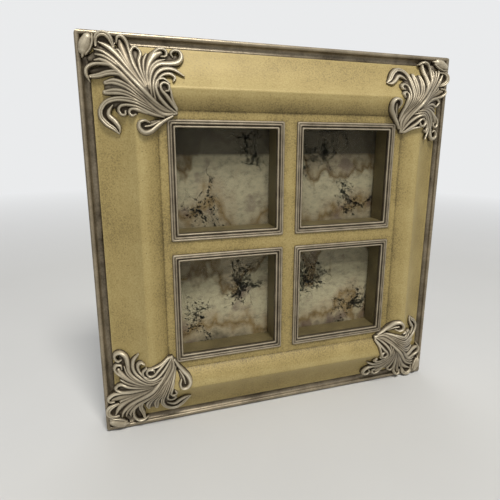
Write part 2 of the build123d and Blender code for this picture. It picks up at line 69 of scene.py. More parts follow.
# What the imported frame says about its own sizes
RIM_LOW, RIM_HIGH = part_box("rim_frame")
HALF_SIDE = (RIM_HIGH.x - RIM_LOW.x) / 2
MIDDLE = (RIM_HIGH.z + RIM_LOW.z) / 2
BEAD_LOW, BEAD_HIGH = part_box("bead_top_right")
WINDOW_PITCH = BEAD_LOW.x + BEAD_HIGH.x
BEAD_SIDE = BEAD_HIGH.x - BEAD_LOW.x
PRINT_LOW, PRINT_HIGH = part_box("print_top_left")
PRINT_HALF = (PRINT_HIGH.x - PRINT_LOW.x) / 2


# Sizes and colours that a user would change


def length(name, description, default):
    """A length that a user can change, kept in metres."""
    return FloatProperty(name=name, description=description, default=default, subtype="DISTANCE",
                         unit="LENGTH")


def level(name, description, default):
    """A plain number that a user can change."""
    return FloatProperty(name=name, description=description, default=default, min=0.0)


def colour(name, description, default):
    """A colour that a user can change."""
    return FloatVectorProperty(name=name, description=description, default=default, size=3,
                               subtype="COLOR", min=0.0, max=1.0)


class FrameFinishes(bpy.types.PropertyGroup):
    """Colours of the frame's paints, metals and papers."""
    gold: colour("Gold", "Matte gold paint of the mouldings", (0.325, 0.245, 0.088))
    # The gold's light end also carries the painted highlights on its crest and by the rim
    gold_light: colour("Gold light", "Rubbed edges of the gold paint", (0.49, 0.40, 0.18))
    # The gold's dark end also carries the painted shade in its quirk and beside the windows
    gold_dark: colour("Gold dark", "Aged wash in the gold's quirks", (0.065, 0.045, 0.013))
    pewter: colour("Pewter", "Silver paint of the rim and castings", (0.28, 0.232, 0.158))
    # On the rim, the pewter's light end also carries the painted highlight on the lip
    pewter_light: colour("Pewter light", "Rubbed high places of the silver", (0.49, 0.43, 0.315))
    # On the rim, the pewter's dark end also carries the painted shade in the cove
    pewter_dark: colour("Pewter dark", "Brown wash in the silver's recesses", (0.035, 0.024, 0.011))
    olive: colour("Olive", "Sleeves behind the windows", (0.105, 0.083, 0.038))
    paper: colour("Paper", "Ground of the prints", (0.47, 0.395, 0.245))
    paper_light: colour("Paper light", "Pale sky of the prints", (0.53, 0.475, 0.30))
    ochre: colour("Ochre", "Warm patches of the prints", (0.27, 0.185, 0.075))
    board: colour("Board", "Black paper of the back board and strut", (0.022, 0.020, 0.019))
    brass: colour("Brass", "Plating of the hinge, hanger and turn buttons", (0.55, 0.39, 0.17))
    steel: colour("Steel", "Screws, rivets and pin", (0.42, 0.42, 0.41))


class OrnamentSizes(bpy.types.PropertyGroup):
    """Sizes of the leaf castings at the corners."""
    reach: length("Reach", "How far a casting runs along each side", 62 * MM)
    grain: length("Grain", "Spacing of the points that carry the carving", 0.25 * MM)
    skirt: length("Skirt", "How far a casting's foot is sunk into the frame", 0.7 * MM)
    fullness: level("Fullness", "Height of the leaves", 1.18)
    blend: length("Blend", "Width of the hollow where two leaves meet", 0.3 * MM)


class BeadSizes(bpy.types.PropertyGroup):
    """Sizes of the reeded liners round the windows."""
    corner: length("Corner", "Rounding of the liner's corners", 1.1 * MM)
    waver: length("Waver", "Unevenness of the cast reeds", 0.10 * MM)


class PrintSizes(bpy.types.PropertyGroup):
    """Sizes of the prints behind the glass."""
    leaf: length("Leaf", "Length of a leaf", 2.8 * MM)
    stem: length("Stem", "Width of a stem", 0.5 * MM)
    spacing: length("Spacing", "Distance between leaves along a stem", 1.0 * MM)
    seed: IntProperty(name="Seed", description="Which foliage grows", default=7)


class ScrewSizes(bpy.types.PropertyGroup):
    """Sizes of the slotted screws and the rivets."""
    head: length("Head", "Radius of the head", 2.9 * MM)
    rise: length("Rise", "Height of the head", 1.5 * MM)
    shank: length("Shank", "Radius of the shank", 1.5 * MM)
    slot: length("Slot", "Width of the slot", 0.7 * MM)
    slot_depth: length("Slot depth", "Depth of the slot", 0.7 * MM)
    rivet_head: length("Rivet head", "Radius of a rivet's head", 2.4 * MM)
    rivet_rise: length("Rivet rise", "Height of a rivet's head", 0.8 * MM)
    rivet_shank: length("Rivet shank", "Radius of a rivet's shank", 1.3 * MM)


class StageSizes(bpy.types.PropertyGroup):
    """The table, the lamps and the camera."""
    side: length("Side", "Side of the table", 30.0)
    gap: length("Gap", "Hair's breadth between the frame and the table", 0.6 * MM)
    clear: length("Clear", "How far from the frame the table keeps its own shade", 0.45)
    surround: level("Surround", "Level of the white surround, as it is seen", 0.84)
    ambient: level("Ambient", "Level of the soft light from all round", 0.31)
    white: colour("White", "Colour of the table", (0.60, 0.60, 0.59))
    lens: FloatProperty(name="Lens", description="Focal length on a 36 mm sensor", default=32.77)


# Wiring


def add_node(tree, kind, values=(), **settings):
    """A node of a tree, with its settings made and its sockets linked or filled."""
    made = tree.nodes.new(kind)
    for key, value in settings.items():
        setattr(made, key, value)
    for socket, value in enumerate(values) if isinstance(values, tuple) else values.items():
        if isinstance(value, bpy.types.NodeSocket):
            tree.links.new(value, made.inputs[socket])
        else:
            made.inputs[socket].default_value = value
    return made


def opaque(value):
    """A colour with its alpha added, or the socket that gives a colour."""
    return value if isinstance(value, bpy.types.NodeSocket) else (*value, 1)


def times(shade, factor):
    """A lighter or darker colour."""
    return tuple(part * factor for part in shade)


# Nearly all of a noise texture's values lie between these
NOISE_LOW, NOISE_HIGH = 0.3, 0.7


class Finish:
    """One painted, plated or printed finish, wired from the object's own coordinates."""

    def __init__(self, name, **constants):
        self.material = bpy.data.materials.new(name)
        self.material.use_nodes = True
        self.tree = self.material.node_tree
        self.tree.nodes.clear()
        self.shader = self.node("ShaderNodeBsdfPrincipled", {
            socket.replace("_", " "): value for socket, value in constants.items()})
        self.output = self.node("ShaderNodeOutputMaterial", {"Surface": self.shader.outputs[0]})
        self.place = self.node("ShaderNodeTexCoord").outputs["Object"]
        self.axes = self.node("ShaderNodeSeparateXYZ", (self.place,)).outputs

    def node(self, kind, values=(), **settings):
        """A node of this finish."""
        return add_node(self.tree, kind, values, **settings)

    def math(self, operation, *values, clamp=False):
        """The result of one step of arithmetic."""
        made = self.node("ShaderNodeMath", values, operation=operation, use_clamp=clamp)
        return made.outputs[0]

    def add(self, total, *others, clamp=False):
        """The sum of some values, held between 0 and 1 if clamp is true."""
        for value in others[:-1]:
            total = self.math("ADD", total, value)
        return self.math("ADD", total, others[-1], clamp=clamp)

    def stretched(self, scale):
        """The object's coordinates, scaled per axis."""
        return self.node("ShaderNodeMapping", {"Vector": self.place, "Scale": scale}).outputs[0]

    def grain(self, scale, detail=2.0, roughness=0.5, vector=None, distortion=0.0):
        """Noise whose scale is in lumps per metre."""
        values = {"Vector": vector or self.place, "Scale": scale, "Detail": detail,
                  "Roughness": roughness, "Distortion": distortion}
        return self.node("ShaderNodeTexNoise", values).outputs[0]

    def spots(self, scale, **settings):
        """Distance from the nearest of many scattered points."""
        values = {"Vector": self.place, "Scale": scale}
        return self.node("ShaderNodeTexVoronoi", values, **settings).outputs[0]

    def attribute(self, name):
        """A value that is stored on the mesh's points."""
        return self.node("ShaderNodeAttribute", attribute_name=name).outputs["Fac"]

    def ramp(self, value, *stops):
        """A curve through pairs of a place and a grey level, or a colour."""
        made = self.node("ShaderNodeValToRGB", (value,))
        elements = made.color_ramp.elements
        while len(elements) > 1:
            elements.remove(elements[-1])
        for index, (place, shade) in enumerate(stops):
            element = elements[0] if index == 0 else elements.new(place)
            element.position = place
            element.color = (*shade, 1) if hasattr(shade, "__len__") else (shade, shade, shade, 1)
        return made.outputs[0]

    def along(self, distance, stops):
        """A ramp over a distance, its places and the distance in millimetres."""
        reach = stops[-1][0]
        return self.ramp(self.math("DIVIDE", distance, reach), *(
            (place / reach, shade) for place, shade in stops))

    def mixed(self, share, first, second, blend_type="MIX"):
        """A share of the second colour laid over the first."""
        values = {0: share, 6: opaque(first), 7: opaque(second)}
        settings = {"data_type": "RGBA", "blend_type": blend_type}
        return self.node("ShaderNodeMix", values, **settings).outputs[2]

    def scaled(self, value, low, high, to_low, to_high):
        """A value brought from one range to another, and held inside it."""
        values = (value, low, high, to_low, to_high)
        return self.node("ShaderNodeMapRange", values, clamp=True).outputs[0]

    def varied(self, grain, low, high):
        """A grain brought to a range of its own."""
        return self.scaled(grain, NOISE_LOW, NOISE_HIGH, low, high)

    def paint(self, shade):
        """Give the finish its colour."""
        self.tree.links.new(shade, self.shader.inputs["Base Color"])

    def polish(self, grain, low, high):
        """Roughness that runs from low to high with a grain."""
        self.tree.links.new(self.varied(grain, low, high), self.shader.inputs["Roughness"])

    def emboss(self, height, distance, strength=1.0):
        """Raise a height as fine relief, so far from its low places to its high ones."""
        made = self.node("ShaderNodeBump", {
            "Strength": strength, "Distance": distance, "Height": height})
        self.tree.links.new(made.outputs[0], self.shader.inputs["Normal"])

    def apart(self, value, middle):
        """How far a value is from a middle, either way."""
        return self.math("ABSOLUTE", self.math("SUBTRACT", value, middle))

    def inset(self):
        """Millimetres in from the frame's outer edge."""
        across, up = self.apart(self.axes[0], 0.0), self.apart(self.axes[2], MIDDLE)
        furthest = self.math("MAXIMUM", across, up)
        return self.math("MULTIPLY", self.math("SUBTRACT", HALF_SIDE, furthest), 1 / MM)

    def from_window(self):
        """Millimetres outwards from the nearest window liner."""
        across = self.apart(self.apart(self.axes[0], 0.0), WINDOW_PITCH / 2)
        up = self.apart(self.apart(self.axes[2], MIDDLE), WINDOW_PITCH / 2)
        furthest = self.math("MAXIMUM", across, up)
        return self.math("MULTIPLY", self.math("SUBTRACT", furthest, BEAD_SIDE / 2), 1 / MM)


# Finishes

# Lightness of the gold by millimetres in from the frame's edge, painted light and shade along the
# moulding's profile: a painted highlight at the arris by the rim, painted shade down the cove, a
# painted highlight on the crest, and painted shade in the quirk at the ovolo's foot
GOLD_LIGHT_AND_SHADE = (
    (0, 0.5), (7.3, 0.58), (8.1, 0.50), (10, 0.44), (20, 0.48), (28, 0.58), (30.5, 0.60),
    (33, 0.64), (36, 0.50), (40, 0.44), (42.5, 0.34), (43.4, 0.18), (44.25, 0.40), (46.5, 0.48),
    (50, 0.48))
# Lightness of the gold by millimetres out from a window's liner: painted shade where the gold meets
# it
WINDOW_SHADE = ((0, 0.25), (1.2, 0.60), (3.6, 1.0), (12, 1.0))
# Lightness of the rim's silver by millimetres in from its edge: a painted highlight on the lip and
# painted shade in the cove
RIM_LIGHT_AND_SHADE = (
    (0, 0.30), (0.6, 0.40), (1.3, 0.48), (2.2, 0.38), (3.2, 0.31), (4.5, 0.25), (6, 0.22),
    (7, 0.18), (7.4, 0.24), (10, 0.24))
# How far in front of the mouldings' back edge the rim's silver starts to give way to bare board
SILVER_EDGE = 6 * MM


def gold_paint(colours):
    """Matte gold with fine dark specks, painted highlights on its crest and by the rim, and painted
    shade down its cove, in its quirk and beside the window liners.
    """
    finish = Finish("gold_moulding", Metallic=0.2)
    cloud = finish.grain(38.0, 5.0, 0.6)
    speck = finish.grain(1000.0, 3.0, 0.75)
    pits = finish.ramp(finish.spots(520.0), (0.0, 0.0), (0.13, 0.25), (0.24, 1.0))
    stains = finish.ramp(finish.grain(260.0, 3.0, 0.7), (0.0, 1.0), (0.52, 1.0), (0.60, 0.0))
    clean = finish.math("MAXIMUM", pits, stains)
    # Painted shade where the gold meets each window's liner
    shade = finish.scaled(finish.along(finish.from_window(), WINDOW_SHADE), 0.0, 1.0, 0.55, 1.0)
    # Painted light and shade along the moulding's profile, times the painted shade beside the liners
    wash_and_painted_light = finish.math("MULTIPLY", finish.along(finish.inset(), GOLD_LIGHT_AND_SHADE), shade)
    tone = finish.add(wash_and_painted_light, finish.varied(cloud, -0.12, 0.12), finish.varied(speck, -0.22, 0.22),
                      clamp=True)
    gold = finish.ramp(
        tone, (0.0, colours.gold_dark), (0.46, colours.gold), (1.0, colours.gold_light))
    finish.paint(finish.mixed(clean, times(colours.gold, 0.5), gold))
    finish.polish(speck, 0.46, 0.64)
    finish.emboss(finish.add(speck, finish.math("MULTIPLY", cloud, 2.0)), 0.10 * MM)
    return finish.material


def rim_silver(colours):
    """Silver paint on the rim with a painted highlight on its lip and painted shade in its cove, and
    bare brown board at the back.
    """
    finish = Finish("pewter_rim", Metallic=0.6)
    streak = finish.grain(60.0, 4.0, 0.6, distortion=0.4)
    fine = finish.grain(900.0, 2.0)
    # Painted highlight on the lip and painted shade in the cove, the same all round
    wash_and_painted_light = finish.along(finish.inset(), RIM_LIGHT_AND_SHADE)
    bare_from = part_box("moulding_top")[1].y - SILVER_EDGE
    bare = finish.scaled(finish.axes[1], bare_from, RIM_HIGH.y, 0.0, -0.22)
    tone = finish.add(wash_and_painted_light, finish.varied(streak, -0.16, 0.16), bare,
                      finish.varied(fine, -0.06, 0.06), clamp=True)
    finish.paint(finish.ramp(
        tone, (0.0, colours.pewter_dark), (0.5, colours.pewter), (1.0, colours.pewter_light)))
    finish.polish(streak, 0.28, 0.38)
    finish.emboss(finish.add(fine, streak), 0.08 * MM)
    return finish.material


def cast_silver(colours, name):
    """Silver over a brown wash that follows the casting's own hollows and high places."""
    finish = Finish(name, Metallic=0.5)
    cloud = finish.grain(120.0, 4.0, 0.6)
    fine = finish.grain(1100.0, 2.0)
    tone = finish.add(finish.attribute("wash_and_painted_light"), finish.varied(cloud, -0.10, 0.10),
                      finish.varied(fine, -0.05, 0.05), clamp=True)
    finish.paint(finish.ramp(
        tone, (0.0, colours.pewter_dark), (0.34, times(colours.pewter, 0.5)),
        (0.60, colours.pewter), (1.0, times(colours.pewter_light, 0.9))))
    worn = finish.scaled(tone, 0.0, 1.0, 0.60, 0.44)
    finish.tree.links.new(worn, finish.shader.inputs["Roughness"])
    finish.emboss(finish.add(fine, finish.math("MULTIPLY", cloud, 2.0)), 0.08 * MM)
    return finish.material


def olive_sleeve(colours):
    """Smooth dark olive inside the sleeves, a little worn."""
    finish = Finish("olive_sleeve", Specular_IOR_Level=0.3)
    cloud = finish.grain(70.0, 4.0)
    fine = finish.grain(1300.0)
    tone = finish.add(cloud, finish.varied(fine, -0.15, 0.15))
    olive = colours.olive
    finish.paint(finish.ramp(
        tone, (0.25, times(olive, 0.7)), (0.5, olive), (0.8, times(olive, 1.5))))
    finish.polish(cloud, 0.32, 0.46)
    finish.emboss(fine, 0.04 * MM)
    return finish.material


def clear_glass():
    """A clean pane with a faint smear, clear enough to show the print behind it."""
    finish = Finish("pane_glass", Alpha=0.10, Specular_IOR_Level=0.1)
    smear = finish.grain(30.0, 3.0)
    finish.paint(finish.ramp(smear, (0.3, (0.030, 0.036, 0.030)), (0.7, (0.045, 0.05, 0.043))))
    finish.polish(smear, 0.02, 0.07)
    return finish.material


def print_paper(colours):
    """Soft hills under a pale sky on matt paper, with a painted shadow across the top of each print.
    """
    finish = Finish("print_paper", Specular_IOR_Level=0.25)
    paper, sky, ochre = colours.paper, colours.paper_light, colours.ochre
    up = finish.math("SUBTRACT", finish.axes[2], MIDDLE)
    middle = finish.math("MULTIPLY", finish.math("SIGN", up), WINDOW_PITCH / 2)
    rise = finish.math("DIVIDE", finish.math("SUBTRACT", up, middle), PRINT_HALF)
    roll = finish.grain(24.0, 4.0, 0.55, finish.stretched((1.0, 1.0, 0.6)))
    land = finish.add(rise, finish.varied(roll, -0.8, 0.8))
    ground = finish.ramp(
        finish.scaled(land, -1.3, 1.3, 0.0, 1.0), (0.0, times(paper, 0.5)), (0.14, paper),
        (0.24, ochre), (0.32, paper), (0.42, sky), (0.62, sky), (0.68, times(ochre, 0.75)),
        (0.76, paper), (1.0, paper))
    strokes = finish.grain(190.0, 5.0, 0.7, finish.stretched((0.8, 1.0, 1.3)))
    shade = finish.ramp(strokes, (0.34, 0.68), (0.48, 1.0), (0.62, 1.15))
    ground = finish.mixed(1.0, ground, shade, "MULTIPLY")
    plum_patches = finish.ramp(finish.grain(48.0, 3.0, 0.5), (0.57, 0.0), (0.66, 0.6))
    ground = finish.mixed(plum_patches, ground, (0.17, 0.105, 0.085))
    # The upper row's prints are darkened overall, as painted shade
    in_upper_row = finish.scaled(up, -MM, MM, 0.0, 1.0)
    row_level = finish.ramp(in_upper_row, (0.0, 0.96), (1.0, 0.75))
    ground = finish.mixed(1.0, ground, row_level, "MULTIPLY")
    # Painted shadow of the frame's top edge across the top of each print, stronger in the upper row
    band = finish.ramp(finish.scaled(rise, 0.0, 1.0, 0.0, 1.0), (0.38, 0.0), (0.44, 0.9))
    painted_shadow = finish.math("MULTIPLY", band, finish.scaled(up, -MM, MM, 0.40, 1.0))
    finish.paint(finish.mixed(painted_shadow, ground, times(paper, 0.15)))
    finish.polish(strokes, 0.55, 0.75)
    finish.emboss(strokes, 0.03 * MM)
    return finish.material


def grey_card():
    """Plain pulp card with a faint upright fibre."""
    finish = Finish("backing_card", Specular_IOR_Level=0.2)
    fibre = finish.grain(500.0, 4.0, 0.6, finish.stretched((1.0, 1.0, 0.3)))
    finish.paint(finish.ramp(fibre, (0.3, (0.22, 0.20, 0.17)), (0.7, (0.34, 0.32, 0.28))))
    finish.polish(fibre, 0.75, 0.9)
    finish.emboss(fibre, 0.05 * MM)
    return finish.material


def black_paper(colours):
    """Black paper over board, embossed with a fine pebble and scuffed grey in places."""
    finish = Finish("back_board", Specular_IOR_Level=0.4)
    pebble = finish.spots(1100.0, feature="SMOOTH_F1")
    fibre = finish.grain(90.0, 5.0, 0.6)
    scuff = finish.ramp(finish.grain(22.0, 6.0, 0.7), (0.60, 0.0), (0.74, 0.5))
    black = finish.ramp(fibre, (0.3, times(colours.board, 0.8)), (0.7, times(colours.board, 1.5)))
    finish.paint(finish.mixed(scuff, black, times(colours.board, 4.0)))
    finish.polish(fibre, 0.52, 0.70)
    finish.emboss(pebble, 0.12 * MM, 0.8)
    return finish.material


def plated(name, metal, smooth, dull):
    """Plated sheet or wire with faint rolling marks and dull patches."""
    finish = Finish(name, Metallic=1.0)
    marks = finish.grain(700.0, 2.0, 0.5, finish.stretched((0.15, 1.0, 1.0)))
    patch = finish.grain(160.0, 4.0, 0.6)
    finish.paint(finish.ramp(
        patch, (0.3, times(metal, 0.72)), (0.55, metal), (0.75, times(metal, 1.15))))
    finish.polish(patch, smooth, dull)
    finish.emboss(marks, 0.03 * MM)
    return finish.material


def soft_rubber():
    """Black rubber with a bloom of dust."""
    finish = Finish("bumper_rubber", Specular_IOR_Level=0.4)
    dust = finish.grain(900.0, 3.0)
    finish.paint(finish.ramp(dust, (0.3, (0.018, 0.018, 0.017)), (0.75, (0.06, 0.058, 0.055))))
    finish.polish(dust, 0.6, 0.8)
    finish.emboss(dust, 0.05 * MM)
    return finish.material


# Objects and meshes


def give(finish, *nodes):
    """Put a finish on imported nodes, which keep their own shape."""
    for name in nodes:
        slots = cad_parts[name].data.materials
        slots.clear()
        slots.append(finish)


def linked(name, data):
    """A new object in the scene."""
    made = bpy.data.objects.new(name, data)
    bpy.context.scene.collection.objects.link(made)
    return made


def placed(name, mesh, slot, *nodes, body="frame"):
    """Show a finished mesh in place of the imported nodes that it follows."""
    piece = linked(name, mesh)
    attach(piece, body)
    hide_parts(*nodes)
    return piece


def evaluated(name, carrier):
    """The plain mesh that a carrier's modifiers make, once the carrier has gone."""
    bpy.context.view_layer.update()
    result = carrier.evaluated_get(bpy.context.evaluated_depsgraph_get())
    mesh = bpy.data.meshes.new_from_object(result)
    mesh.name = name
    bpy.data.objects.remove(carrier)
    return mesh


def mesh_of(name, points, faces, wash_and_painted_light=None):
    """A smooth mesh from rows of points and faces, with its wash stored on its points."""
    mesh = bpy.data.meshes.new(name)
    mesh.from_pydata([tuple(point) for point in points], [], [tuple(face) for face in faces])
    mesh.update()
    mesh.polygons.foreach_set("use_smooth", [True] * len(mesh.polygons))
    if wash_and_painted_light is not None:
        stored = mesh.attributes.new("wash_and_painted_light", "FLOAT", "POINT")
        stored.data.foreach_set("value", np.asarray(wash_and_painted_light, np.float32))
    return mesh


def mesh_from(name, work):
    """A mesh from a bmesh that is done with."""
    mesh = bpy.data.meshes.new(name)
    work.to_mesh(mesh)
    work.free()
    return mesh


def add_box(work, centre, size):
    """Add a box to a bmesh."""
    bmesh.ops.create_cube(
        work, size=1.0, matrix=Matrix.Translation(centre) @ Matrix.Diagonal((*size, 1)))


def outwards(mesh):
    """Turn a closed mesh's faces outwards."""
    work = bmesh.new()
    work.from_mesh(mesh)
    bmesh.ops.recalc_face_normals(work, faces=work.faces)
    work.to_mesh(mesh)
    work.free()
    return mesh


# Corner castings

